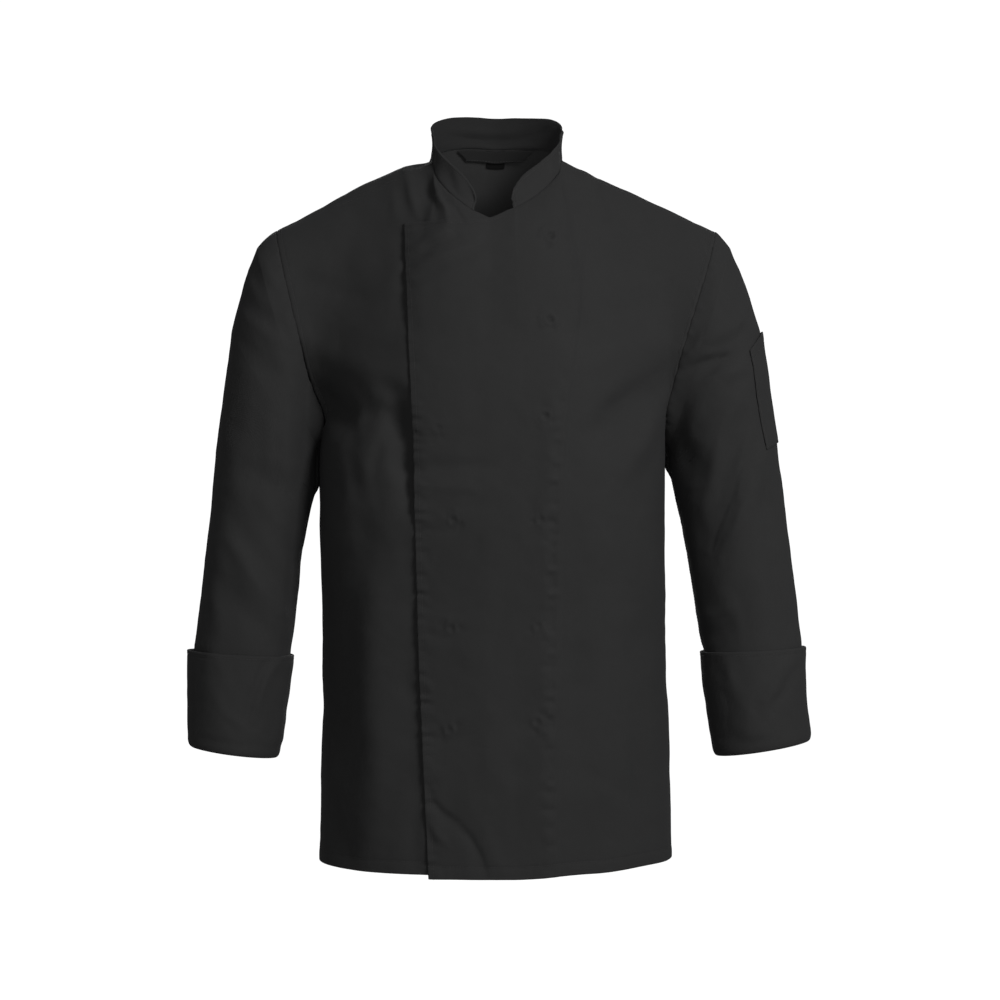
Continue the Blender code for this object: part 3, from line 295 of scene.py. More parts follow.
# Folds that show in the picture: u and v of both ends, how far the line bends sideways in its middle,
# half the fold's width, its height in mm, in where that is negative, and a lean where it has one. A
# lean above 0 makes the side to the right of the line's way steeper.
CREASE_STRENGTH = 1.5
FRONT_CREASES = (
    (294, 376, 350, 416, 8, 24, -8, 0.3),
    (368, 386, 400, 408, 2, 12, 1.8),
    (316, 398, 346, 434, 2, 16, -3),
    (398, 174, 427, 160, 0, 10, 4.2),
    (303, 336, 376, 374, 5, 13, 1.8),
    (352, 402, 364, 470, 2, 11, 0.9),
    (388, 430, 378, 500, 3, 7, -1.3),
    (350, 440, 372, 512, 3, 11, -0.8),
    (338, 430, 352, 540, 0, 9, 1),
    (330, 560, 331, 860, 0, 10, -2.2),
    (372, 560, 372, 850, -2, 16, 1.8),
    (350, 610, 346, 850, 0, 9, -1.2),
    (334, 800, 346, 868, 0, 9, -2),
    (300, 282, 398, 300, 5, 12, -0.8),
    (296, 262, 372, 262, 4, 11, 0.8),
    (318, 330, 398, 338, -4, 12, 0.9),
    (420, 164, 434, 217, -4, 11, -1.5, 0.2),
    (427, 180, 438, 219, -2, 5.5, -1.2, 0.2),
    (438, 186, 449, 219, -2, 3.6, 1.4),
    (443, 193, 464, 217, -2, 3.8, -1.2),
    (402, 186, 410, 214, 0, 7, -0.9),
    (411, 178, 419, 216, 0, 4, 1.2),
    (395, 196, 398, 220, 0, 4, 0.7),
    (408, 263, 456, 234, -3, 5, -1.7, 0.3),
    (409, 252, 446, 231, -2, 4, 1.2),
    (410, 286, 474, 248, -3, 6, -1.1, 0.3),
    (409, 275, 462, 245, -3, 4, 0.6),
    (412, 312, 460, 284, -3, 6, -0.5),
    (592, 178, 603, 214, 2, 5, -1.1, 0.4),
    (580, 168, 592, 204, 2, 5, 1),
    (575, 330, 662, 304, -4, 9, -0.9),
    (582, 302, 676, 272, -5, 12, 1),
    (585, 268, 668, 240, -5, 10, -0.5),
    (590, 365, 655, 342, -6, 15, 1.4),
    (676, 368, 602, 424, 5, 13, -2.4, -0.2),
    (668, 398, 640, 448, 3, 9, 1.6),
    (660, 430, 642, 500, 2, 8, -0.8),
    (416, 468, 488, 464, 2, 7, -1.1),
    (416, 485, 470, 490, 0, 6, 0.7),
    (600, 470, 596, 860, 6, 18, 1.2),
    (634, 640, 648, 866, 3, 13, -2),
    (655, 560, 664, 860, 0, 8, 1),
    (575, 470, 572, 700, 0, 9, -0.5),
    (426, 788, 449, 820, 3, 5, -1.4, 0.2),
    (449, 820, 484, 866, -3, 7, -1.4, 0.2),
    (425, 803, 442, 842, 3, 4, 1),
    (429, 818, 436, 858, 2, 4, -0.8),
    (470, 800, 500, 860, 3, 9, 0.8),
    (490, 560, 484, 760, 4, 16, 0.8),
    (520, 640, 516, 840, 2, 11, -0.6),
    (588, 770, 640, 800, 4, 10, -0.6),
)
UNDER_CREASES = (
    (392, 398, 409, 496, -2, 12, -5),
    (402, 236, 404, 320, 0, 7, -0.9),
    (407, 500, 411, 640, 0, 9, -0.8),
    (410, 620, 416, 866, 0, 12, -1.6),
)
BACK_CREASES = (
    (398, 174, 427, 160, 0, 10, 4.2),
    (338, 252, 470, 205, 8, 14, -2.2, 0.2),
    (662, 250, 530, 205, -8, 14, -2.2, 0.2),
    (330, 300, 440, 262, 6, 13, 1.6),
    (668, 300, 560, 262, -6, 13, 1.6),
    (322, 360, 400, 470, 8, 12, -2.6, 0.2),
    (676, 360, 598, 470, -8, 12, -2.6, 0.2),
    (330, 415, 398, 500, 6, 8, 1.4),
    (668, 415, 600, 505, -6, 8, 1.4),
    (420, 430, 432, 640, 5, 13, -1.4),
    (580, 440, 566, 650, -5, 13, -1.5),
    (460, 520, 470, 700, 4, 14, 1.2),
    (540, 500, 532, 690, -4, 14, 1.2),
    (352, 560, 362, 862, 3, 12, -2.2),
    (648, 570, 640, 862, -3, 12, -2),
    (398, 640, 392, 866, 0, 15, 1.8),
    (606, 650, 612, 866, 0, 15, 1.6),
    (446, 700, 440, 868, 2, 11, -1.6),
    (560, 690, 566, 868, -2, 11, -1.6),
    (500, 640, 506, 868, 3, 16, 1.4),
    (420, 250, 580, 246, -6, 16, 1),
    (430, 320, 572, 326, 5, 18, -0.9),
)
SLEEVE_CREASES = {
    -1: (
        (238, 298, 292, 330, 4, 8, -1, 0.2),
        (246, 318, 298, 350, 4, 7, 1),
        (236, 338, 300, 378, 5, 9, -1.2, 0.2),
        (284, 318, 303, 352, 2, 4, 1.2),
        (246, 270, 262, 292, 1, 6, -0.8),
        (262, 262, 290, 300, 2, 7, 0.9),
        (252, 262, 276, 298, 2, 6, -0.7),
        (228, 386, 238, 500, 2, 10, 1.2),
        (262, 392, 258, 512, 3, 9, -0.8),
        (288, 386, 280, 520, -3, 8, 1),
        (312, 396, 304, 560, 0, 11, -3.4),
        (228, 520, 284, 614, 7, 9, 0.7, 0.2),
        (240, 506, 298, 592, 7, 8, -0.4),
        (222, 552, 266, 640, 6, 10, -0.4),
        (250, 470, 290, 540, 5, 8, 0.5),
        (222, 546, 215, 664, 0, 9, 2),
        (238, 526, 288, 602, 2, 9, -1.2),
        (214, 544, 262, 620, 2, 9, 1.2),
        (297, 556, 289, 654, 0, 9, -2.6),
        (246, 610, 270, 650, 2, 8, 0.8),
    ),
    1: (
        (677, 364, 702, 336, 2, 4.5, 1.6, 0.3),
        (674, 350, 694, 322, 2, 4.5, -1.2),
        (690, 312, 712, 290, 1, 7, 0.9),
        (678, 376, 728, 356, -4, 6, -2.2, 0.3),
        (682, 392, 748, 368, -5, 7, 1.3),
        (746, 378, 700, 424, 4, 7, -1.4),
        (736, 398, 706, 520, 5, 8, 1.3),
        (672, 416, 680, 502, 0, 13, -1.9),
        (712, 338, 744, 316, 2, 5, 1.2, 0.2),
        (716, 347, 742, 331, 2, 4, -0.9),
        (752, 424, 738, 500, 1, 5, 0.8),
        (749, 462, 713, 548, 2, 2.8, -0.7, 0.4),
        (757, 470, 724, 556, 2, 5, 0.9),
        (696, 500, 712, 600, 3, 8, -0.4),
        (716, 560, 742, 650, -3, 10, 0.5),
        (702, 634, 728, 627, 0, 7, -1.2, 0.2),
        (704, 616, 734, 606, 0, 6, 0.9),
        (772, 560, 782, 650, 0, 8, -1),
        (724, 300, 762, 330, 3, 8, 0.7),
        (758, 420, 770, 560, 3, 9, -0.8),
    ),
}
CUFF_CREASES = {
    -1: (
        (217, 666, 220, 744, 1, 12, 1.6),
        (280, 664, 258, 704, 2, 5, 1.4),
        (268, 664, 248, 716, 2, 4, -1.1),
        (228, 668, 234, 742, 3, 11, 0.8),
        (214, 672, 246, 724, 2, 6, -0.6),
        (284, 690, 276, 748, 0, 6, 0.9),
        (222, 700, 262, 740, 2, 6, 0.8),
    ),
    1: (
        (716, 664, 729, 744, 2, 9, -0.8),
        (728, 664, 742, 704, 2, 6, 0.9),
        (793, 668, 776, 712, 2, 5, -1.2),
        (780, 664, 768, 700, 1, 5, 1),
        (722, 700, 728, 750, 0, 8, -0.5),
        (752, 680, 756, 742, 3, 11, 1),
        (800, 672, 803, 734, 0, 5, -1),
    ),
}
COLLAR_CREASES = (
    (452, 131, 512, 128, 2, 4.5, 3, 0.3),
    (462, 138, 506, 136, 2, 4, -2),
    (488, 144, 542, 128, 3, 4.5, -3, 0.2),
    (506, 133, 548, 122, 2, 4, 2),
    (446, 136, 462, 141, 1, 4, 0.4),
    (443, 172, 458, 196, 1, 4.5, -1.3),
    (553, 152, 557, 182, 0, 2.5, 0.7, 0.3),
    (528, 186, 545, 178, 1, 4, 0.4),
    (440, 146, 552, 146, 0, 1.7, 2.4),
)

COLLAR_LEAN_LESS = 0.11  # how much less the collar leans out by the wearer's right shoulder
COLLAR_INSIDE_PAINTED_SHADE = 0.66  # painted shade: how much darker the collar's inner side is coloured than the same cloth outside
YARN_SHADES = (0.78, 1.26)  # the darkest and lightest yarns, as shares of their cloth's colour
SLUB_HEIGHT = 0.00022  # how far thicker places in the yarn stand out
CLOTH_LINT = 0.5
TAPE_WEAVE = (0.0012, 0.00006, 0.1)  # rib, its depth and lint of the two tapes inside the neck
STITCH_LIFT = 0.0001  # how far the stitches' middles lie above the cloth
EDGE_LIFT = 0.0007  # what the free edge of the overlap stands off further
EDGE_LIFT_WIDTH = 0.024
SLEEVE_PUFF = 0.0016  # how far the top of a sleeve puffs out below its seam
PUFF_BELOW = 0.016
PUFF_WIDTH = 0.012
COLLAR_BELLY = 0.0015  # how far the collar bulges inwards between its edges

# Where each sleeve bulges towards the body: how far, and from and down to which height
PRESS = {-1: (0.0044, -0.288, -0.354), 1: (0.0050, -0.288, -0.336)}
PRESS_TURN = 0.46  # turns behind the outer line
PRESS_WIDTH = 0.035

# The hidden studs leave faint rings in the cloth: u and v, strength, and how hard the free edge is
# pulled there, along lines like those of the folds, with v from the stud's.
STUDS = (
    (551, 235, 2.2, 0),
    (550, 319, 2, 0),
    (545, 416, 1.5, 0),
    (541, 520, 1, 0),
    (538, 626, 0.8, 0),
    (537, 722, 1, 0),
    (438, 428, 0.4, 0.4),
    (453, 520, 1, 0.8),
    (451, 628, 0.9, 1),
    (449, 730, 0.9, 1),
)
STUD_RING = 5.0  # picture units from its middle
STUD_SPOKES = 9
STUD_PULLS = (
    (414, 7, 438, 8, 3.6, -0.9),
    (414, -3, 434, -2, 3.2, 0.5),
    (418, 17, 444, 12, 4, -0.45),
    (416, -14, 444, -9, 4, 0.3),
    (440, -6, 470, -10, 5, 0.3),
    (444, 9, 472, 5, 5, -0.35),
)

# The edge of the under front shows through the front that lies on it, as a puckered ridge.
RIDGE = (
    ("v", "u", "strength"),
    (225, 584, 0.15),
    (280, 579, 0.25),
    (350, 568, 0.35),
    (420, 560, 0.8),
    (512, 554, 1),
    (640, 552, 1),
    (820, 551, 1),
    (872, 551, 0.6),
)

# What sewing presses into the cloth: how wide its ditches and grooves are, how far apart its puckers
# lie, and how far they reach from the edge or the stitches
DITCH_WIDTH = 0.0021
GROOVE_WIDTH = 0.0014
PUCKER_PITCH = 0.0048
PUCKER_REACH = 0.0085
SEW_REACH = 0.018  # how far from a seam the cloth is moved so that two pieces meet

# Sewn edges of each piece: which edge, from and to which coarse place along it, then in mm how far in
# the stitches run, or 0 for none, how deep they lie, how far the edge sinks into its seam, and how
# strongly the cloth puckers there.
HEM = (12.5, 0.3, 0, 0.35)
SHOULDER_SEAM = (4.5, 0.25, 0.9, 0.2)
ARMHOLE_SEAM = (5.5, 0.25, 0.8, 0.3)
SIDE_SEAM = (0, 0, 0.8, 0.3)
POCKET_SEAM = (2.2, 0.3, 0, 0.4)
SLEEVE_SEAM = (("first", 0.06, 1, 0, 0, 0.6, 0.3), ("last", 0.06, 1, 4.5, 0.2, 0.6, 0.3))
CUFF_SEAM = (("bottom", 0, 1, 3.4, 0.4, 0, 0.3),)
SEAMS = {
    "front_left": (
        ("last", 0, 14, 5.4, 0.05, 0, 2),
        ("last", 14, 24, 5.4, 0.05, 0, 0.9),
        ("top", 16.6, 22, 5.2, 0.35, 0, 0.25),
        ("bottom", 0, 22, *HEM),
        ("top", 0, 10, *SHOULDER_SEAM),
        ("top", 10, 16, 0, 0, 0.9, 0.3),
        ("first", 12.8, 24, *ARMHOLE_SEAM),
        ("first", 0, 11.6, *SIDE_SEAM),
    ),
    "front_right": (
        ("first", 0, 24, 5.4, 0.35, 0, 0.3),
        ("bottom", 0, 22, *HEM),
        ("top", 0, 10, *SHOULDER_SEAM),
        ("top", 10, 16, 0, 0, 0.9, 0.5),
        ("last", 12.8, 24, *ARMHOLE_SEAM),
        ("last", 0, 11.6, *SIDE_SEAM),
    ),
    "back": (
        ("bottom", 0, 32, *HEM),
        ("top", 0, 10, 0, 0, 0.9, 0.2),
        ("top", 10, 22, 0, 0, 0.2, 0.3),
        ("top", 22, 32, 0, 0, 0.9, 0.2),
        ("first", 12.8, 24, *ARMHOLE_SEAM),
        ("last", 12.8, 24, *ARMHOLE_SEAM),
        ("first", 0, 11.6, *SIDE_SEAM),
        ("last", 0, 11.6, *SIDE_SEAM),
    ),
    "sleeve_left": (("bottom", 0.06, 0.94, 0, 0, 0.45, 1), *SLEEVE_SEAM),
    "sleeve_right": (("bottom", 0.06, 0.94, 0, 0, 0.8, 0.8), *SLEEVE_SEAM),
    "cuff_left": CUFF_SEAM,
    "cuff_right": CUFF_SEAM,
    "sleeve_pocket": (
        *((edge, 0, 1, *POCKET_SEAM) for edge in ("first", "last", "top")),
        ("bottom", 0, 1, 11, 0.3, 0, 0.2),
    ),
    "collar": (
        ("top", 0.04, 0.96, 4.6, 0.2, 0, 0.1),
        ("first", 0, 1, 4.6, 0.35, 0, 0.2),
        ("last", 0, 1, 4.6, 0.35, 0, 0.2),
        ("bottom", 0, 1, 0, 0, 0.3, 0.3),
    ),
    "hanger_loop": (("bottom", 0, 1, 1.5, 0.1, 0, 0),),
}


UP = np.array([0.0, 0.0, 1.0])


def smooth_step(value):
    """0 below 0, 1 above 1, with level ends."""
    clipped = np.clip(value, 0.0, 1.0)
    return clipped * clipped * (3.0 - 2.0 * clipped)


def bell(distance, width):
    """1 at no distance, falling away smoothly to both sides."""
    return np.exp(-((distance / width) ** 2))


def cubic(start, leave, end, arrive, t):
    """Points at t, from 0 to 1, of a curve that leaves its start and reaches its end in these ways."""
    return (
        start * (1 + 2 * t) * (1 - t) ** 2
        + leave * t * (1 - t) ** 2
        + end * t * t * (3 - 2 * t)
        + arrive * t * t * (t - 1)
    )


def curve_through(keys, values, at):
    """Values of a smooth curve through (keys, values), which may be rows of points. Keys rise."""
    keys, values = np.asarray(keys, float), np.asarray(values, float)
    at = np.clip(np.asarray(at, float), keys[0], keys[-1])
    slopes = np.gradient(values, keys, axis=0)
    if values.ndim > 2:
        steps = np.linalg.norm(np.diff(values, axis=0), axis=-1, keepdims=True)
        steepest = 2 * np.minimum(steps[:-1], steps[1:])
        steep = np.linalg.norm(slopes[1:-1], axis=-1, keepdims=True)
        slopes[1:-1] *= np.minimum(1, steepest / np.maximum(steep, 1e-9))
    low = np.clip(np.searchsorted(keys, at, side="right") - 1, 0, len(keys) - 2)
    shape = at.shape + (1,) * (values.ndim - 1)
    span = keys[low + 1] - keys[low]
    t = ((at - keys[low]) / span).reshape(shape)
    span = span.reshape(shape)
    return cubic(values[low], slopes[low] * span, values[low + 1], slopes[low + 1] * span, t)


def table_curve(table, name, at):
    """A smooth curve through one named column of a table, over its first column."""
    rows = np.array(table[1:], float)
    return curve_through(rows[:, 0], rows[:, table[0].index(name)], at)


def unit(vectors):
    length = np.linalg.norm(vectors, axis=-1, keepdims=True)
    return vectors / np.maximum(length, 1e-12)


def shoulder_point(side):
    return np.array([side * SHOULDER_X, SIDE_Y, SHOULDER_Z])


def underarm_point(side):
    return np.array([side * table_curve(TORSO, SIDES[side], UNDERARM_Z), SIDE_Y, UNDERARM_Z])


def neck_point(side):
    """Where a shoulder seam meets the collar."""
    return np.array([NECK_X + side * NECK_HALF, *SEAM_ENDS[side][:2]])


def armhole(side, face, v):
    """Points of the armhole, from the underarm at v 0 to the shoulder at v 1."""
    turn = math.pi * (1.0 - v)
    low, high = underarm_point(side), shoulder_point(side)
    points = (low + high) / 2 + np.cos(turn)[:, None] * (high - low) / 2
    points[:, 1] += face * ARMHOLE_DEPTH[face] * np.sin(turn)
    if face < 0:
        points[:, 0] -= side * SCOOP[side] * np.sin(turn) * (1 - np.cos(turn)) / 2
    return points


def body_section(side, face, fraction, z):
    """Points of one quarter of the torso at height z, from the side seam at 0 to the middle at 1."""
    width = table_curve(TORSO, SIDES[side], z) - side * CENTRE_X
    depth = table_curve(TORSO, FACES[face], z) - face * SIDE_Y
    corner = table_curve(TORSO, "corner", z)
    angle = fraction * math.pi / 2
    x = CENTRE_X + side * width * np.cos(angle) ** corner
    y = SIDE_Y + face * depth * np.sin(angle) ** corner
    return np.stack([x, y, z], axis=-1)


def top_edge(side, face, fraction):
    """The upper edge of a front or back: shoulder seam for fractions to 1, then neckline to 2."""
    start, end = shoulder_point(side), neck_point(side)
    along = np.clip(fraction, 0, 1)
    seam = start + (end - start) * along[:, None]
    seam[:, 2] -= SEAM_ENDS[side][2] * 1.6 * np.sin(math.pi * along) * along
    turn = np.clip(fraction - 1, 0, 1) * math.pi / 2
    cos, sin = np.cos(turn), np.sin(turn)
    if face < 0:
        x, y, z = CENTRE_X, NECK_FRONT_Y, NECK_FRONT_Z
        drop = 0.58 * sin + 0.42 * (1 - cos)
    else:
        x, y, z = (CENTRE_X + NECK_X) / 2, NECK_BACK_Y, NECK_BACK_Z
        drop = sin * (1 + 0.35 * cos)
    neckline = (x + (end[0] - x) * cos, end[1] + (y - end[1]) * sin, end[2] + (z - end[2]) * drop)
    return np.where(fraction[:, None] > 1, np.stack(neckline, axis=1), seam)


def top_slope(face, fraction):
    """Which way a column of cloth runs where it reaches the upper edge, and how strongly."""
    eased = np.where(fraction > 1, 1 + smooth_step(fraction - 1), fraction)
    y, z, strength = (np.interp(eased, TOP_PLACES, part) for part in zip(*TOP_WAYS[face]))
    return unit(np.stack([np.zeros_like(y), y, z], axis=-1)) * strength[:, None]


def rising(base, leave, side, face, fraction, t):
    """Columns of cloth that leave the underarm's level and end on the upper edge."""
    top = top_edge(side, face, fraction)
    height = np.linalg.norm(top - base, axis=1, keepdims=True)
    return cubic(base, leave * height * 1.02, top, top_slope(face, fraction) * height, t[:, None])


def torso_points(side, face, fraction, level):
    """Points on one quarter of the torso.

    fraction runs from the side seam, 0, past the neck point, 1, to the middle, 2. level runs from the
    hem, 0, past the underarm, 1, to the shoulder and neck, 2.
    """
    fraction, level = np.broadcast_arrays(fraction, level)
    z = HEM_Z + (UNDERARM_Z - HEM_Z) * np.clip(level, 0, 1)
    quarter = np.clip(fraction, 0, 1) * NECK_SHARE + np.clip(fraction - 1, 0, 1) * (1 - NECK_SHARE)
    points = body_section(side, face, quarter, z)
    above = level > 1
    f, t = fraction[above], level[above] - 1
    underarm = np.full(len(f), UNDERARM_Z)
    before = body_section(side, face, quarter[above], underarm - 0.002)
    columns = rising(points[above], unit(points[above] - before), side, face, f, t)
    edge = body_section(side, face, 0 * f, underarm)
    pull = armhole(side, face, t) - rising(edge, UP, side, face, 0 * f, t)
    points[above] = columns + pull * ((1 - np.clip(f, 0, 1)) ** 3)[:, None]
    return points


def on_facets(grid, x, z):
    """Points of a front's own half that have this x and z, on its flat cells, by Newton's method."""
    shape = np.shape(x)
    x, z = np.ravel(x), np.ravel(z)
    last_row, last_column = grid.shape[0] - 1, grid.shape[1] - 1
    steps = (np.arange(0, last + 0.01, 0.2) for last in (last_row, last_column))
    fine = np.meshgrid(*steps, indexing="ij")
    tried = on_grid(grid, *fine)[..., [0, 2]].reshape(-1, 2)
    nearest = [np.argmin((tried[:, 0] - a) ** 2 + (tried[:, 1] - b) ** 2) for a, b in zip(x, z)]
    row, column = fine[0].ravel()[nearest], fine[1].ravel()[nearest]
    step = 1e-4
    for _ in range(25):
        here = on_grid(grid, row, column)
        a, _, c = ((on_grid(grid, row + step, column) - here) / step).T
        b, _, d = ((on_grid(grid, row, column + step) - here) / step).T
        error_x, error_z = x - here[:, 0], z - here[:, 2]
        det = a * d - b * c
        det = np.where(np.abs(det) < 1e-12, 1e-12, det)
        row = np.clip(row + np.clip((d * error_x - b * error_z) / det, -0.4, 0.4), 0, last_row)
        column = np.clip(column + np.clip((a * error_z - c * error_x) / det, -0.4, 0.4), 0, last_column)
    return on_grid(grid, row, column).reshape(shape + (3,))


def grid_normals(points):
    """Outward normals of a grid with rows up and columns from the wearer's left round the front."""
    return unit(np.cross(np.gradient(points, axis=0), np.gradient(points, axis=1)))


def fold_height(folds, points):
    """How far the folds move each point out."""
    total = np.zeros(points.shape[:-1])
    for face, *row in folds:
        x1, z1, x2, z2, width, height = np.array(row) / 1000
        line = np.array([x2 - x1, z2 - z1])
        offset = points[..., [0, 2]] - (x1, z1)
        along = np.clip((offset @ line) / (line @ line), 0, 1)
        distance = np.linalg.norm(offset - along[..., None] * line, axis=-1)
        taper = 0.35 + 0.65 * np.sin(math.pi * np.clip(along, 0.02, 0.98)) ** 0.7
        same_face = smooth_step(0.5 + face * (points[..., 1] - SIDE_Y) / 0.05)
        total += height * taper * same_face * bell(distance, width)
    return total


def levels():
    """Rows of the body: hem to underarm, then underarm to the top."""
    arm = 1 + np.linspace(0, 1, ARM_ROWS + 1)[1:]
    return np.concatenate([np.linspace(0, 1, BODY_ROWS + 1), arm])[:, None]


def neck_fractions():
    """Columns that end at the neckline, closer at the collar's end, and the middle."""
    tried = np.linspace(1, 2, 400)
    reach = np.abs(top_edge(1, -1, tried)[:, 0] - CENTRE_X)
    end = np.interp(-COLLAR_END, -reach, tried)
    share = 1 - (1 - np.linspace(0, 1, NECK_COLUMNS + 1)[1:]) ** 1.7
    return np.concatenate([1 + share * (end - 1), [2.0]])


def side_columns(neck):
    """Columns that end at the shoulder seam, then those that end at the neckline."""
    return np.concatenate([np.linspace(0, 1, SHOULDER_COLUMNS + 1), neck])


def lifted(points, side):
    """How far a front stands off the surface that both fronts share, where they cross."""
    x, z = points[..., 0], points[..., 2]
    from_over = x - table_curve(EDGE, "over", z)
    if side > 0:
        beyond = (x - table_curve(EDGE, "under", z) - OVER_SETTLES[0]) / OVER_SETTLES[1]
        lift = (CLOTH + LAYER) * (1 - smooth_step(beyond))
        lift = lift + EDGE_LIFT * (1 - smooth_step(from_over / EDGE_LIFT_WIDTH))
    else:
        inside = smooth_step((from_over - 0.004) / 0.016)
        crossed = smooth_step((x - CENTRE_X + 0.01) / 0.02)
        lift = -UNDER_DROP[0] * inside - UNDER_DROP[1] * crossed
    return lift * smooth_step((LIFT_TOP[side] - z) / LIFT_FADE)


def own_half(side):
    return torso_points(side, -1, side_columns(neck_fractions()), levels())


def front_grid(side):
    """One front without its folds: its own half, then the part that crosses the middle."""
    own, other = own_half(side), own_half(-side)
    share = np.linspace(0, 1, OVERLAP_COLUMNS + 1)[1:]
    height = own[:, -1, 2]
    hem, neck = height[0], height[-1]
    top = neck - OVER_TOP_DROP * share**0.8
    z = hem + ((height - hem) / (neck - hem))[:, None] * (top - hem)
    x = CENTRE_X + (table_curve(EDGE, "over" if side > 0 else "under", z) - CENTRE_X) * share
    return np.concatenate([own, on_facets(other, x, z)], axis=1)


def back_grid():
    """The back without its folds, from the wearer's right to the left."""
    fractions = side_columns(1 + np.linspace(0, 1, NECK_COLUMNS + 1)[1:])
    right, left = (torso_points(side, 1, fractions, levels()) for side in (-1, 1))
    return np.concatenate([right, left[:, -2::-1]], axis=1)


def relax_back(points, left, right):
    """Evens out the upper back like a bent plate, between its edges and the two fronts, which stay."""
    rows, columns = points.shape[:2]
    first = BODY_ROWS + 2
    count = SHOULDER_COLUMNS + 1
    beyond = np.full((2, columns, 3), np.nan)
    for k in range(2):
        beyond[k, :count] = right[-2 - k, :count]
        beyond[k, -count:] = left[-2 - k, :count][::-1]
    free = np.zeros((rows, columns), bool)
    free[first : rows - 1, 1 : columns - 1] = True
    total = free.sum()
    numbers = np.full((rows, columns), -1)
    numbers[free] = np.arange(total)
    matrix, wanted = np.zeros((total, total)), np.zeros((total, 3))

    def spot(i, j):
        return (-1, beyond[i - rows, j]) if i >= rows else (numbers[i, j], points[i, j])

    def bend(*cells):
        parts = [(*spot(*cell), factor) for cell, factor in zip(cells, (1.0, -2.0, 1.0))]
        if any(np.isnan(place).any() for _, place, _ in parts):
            return
        for n, _, a in parts:
            for m, place, b in parts:
                if n >= 0 and m >= 0:
                    matrix[n, m] += a * b
                elif n >= 0:
                    wanted[n] -= a * b * place

    for i in range(first - 1, rows + 1):
        for j in range(columns):
            bend((i - 1, j), (i, j), (i + 1, j))
    for i, j in zip(*np.nonzero(free)):
        bend((i, j - 1), (i, j), (i, j + 1))
        near = min(np.linalg.norm(points[i, j] - neck_point(side)) for side in (-1, 1))
        hold = RELAX_HOLD * smooth_step((near - RELAX_FREE[0]) / RELAX_FREE[1])
        n = numbers[i, j]
        matrix[n, n] += hold
        wanted[n] += hold * points[i, j]
    relaxed = points.copy()
    relaxed[free] = np.linalg.solve(matrix, wanted)
    return relaxed


def run_length(line):
    """How far each point of a line is along it."""
    return np.concatenate([[0], np.cumsum(np.linalg.norm(np.diff(line, axis=0), axis=1))])


def sleeve_grid(side, ring, turns):
    """Sleeve points: the armhole's ring first, then an oval for each row of the table, as a smooth tube.

    Turn 0 is at the outer line, a quarter at the front and a half at the inner line.
    """
    table = np.array(SLEEVE[side]) / 1000
    outer_x, outer_z, inner_x, inner_z = table.T[..., None]
    mid_y, depth = np.array(SLEEVE_DEPTHS).T[..., None] / 1000
    cos, sin = np.cos(turns * 2 * math.pi), np.sin(turns * 2 * math.pi)
    x = (outer_x + inner_x) / 2 + cos * (outer_x - inner_x) / 2
    z = (outer_z + inner_z) / 2 + cos * (outer_z - inner_z) / 2
    sections = np.concatenate([ring[None], np.stack([x, mid_y - depth * sin, z], axis=-1)])
    start = (shoulder_point(side) + underarm_point(side))[None, [0, 2]]
    keys = run_length(np.concatenate([start, table[:, :2] + table[:, 2:]]) / 2)
    return curve_through(keys, sections, np.linspace(0, 1, SLEEVE_RINGS + 1) ** 1.12 * keys[-1])


def on_grid(values, row, column):
    """Values between the points of a grid, at rows and columns that needn't be whole."""
    row, column = np.broadcast_arrays(row, column)
    i = np.clip(np.floor(row).astype(int), 0, values.shape[0] - 2)
    j = np.clip(np.floor(column).astype(int), 0, values.shape[1] - 2)
    u, v = (row - i)[..., None], (column - j)[..., None]
    low = values[i, j] * (1 - v) + values[i, j + 1] * v
    high = values[i + 1, j] * (1 - v) + values[i + 1, j + 1] * v
    return low * (1 - u) + high * u


def place_of(value, values):
    """Where along a rising or falling row of values a value is, in steps that needn't be whole."""
    index = np.arange(len(values))
    if values[0] > values[-1]:
        values, index = values[::-1], index[::-1]
    return np.interp(value, values, index)


def seen(points):
    """Where the camera sees points, in the picture's units."""
    x, y, z = CAMERA_PLACE
    nearer = -y / (points[..., 1] - y) / PICTURE_SCALE
    return 500 + (points[..., 0] - x) * nearer, 500 - (points[..., 2] - z) * nearer


def rough(a, b, seed):
    """Smooth unevenness between -1 and 1 over a plane, with humps about 1 across."""
    a, b = np.broadcast_arrays(np.asarray(a, float), np.asarray(b, float))
    i, j = np.floor(a), np.floor(b)
    p, q = a - i, b - j
    p, q = p * p * (3 - 2 * p), q * q * (3 - 2 * q)

    def knot(x, y):
        value = np.sin(x * 127.1 + y * 311.7 + seed * 74.7) * 43758.5453
        return 2 * (value - np.floor(value)) - 1

    low = knot(i, j) * (1 - p) + knot(i + 1, j) * p
    high = knot(i, j + 1) * (1 - p) + knot(i + 1, j + 1) * p
    return low * (1 - q) + high * q


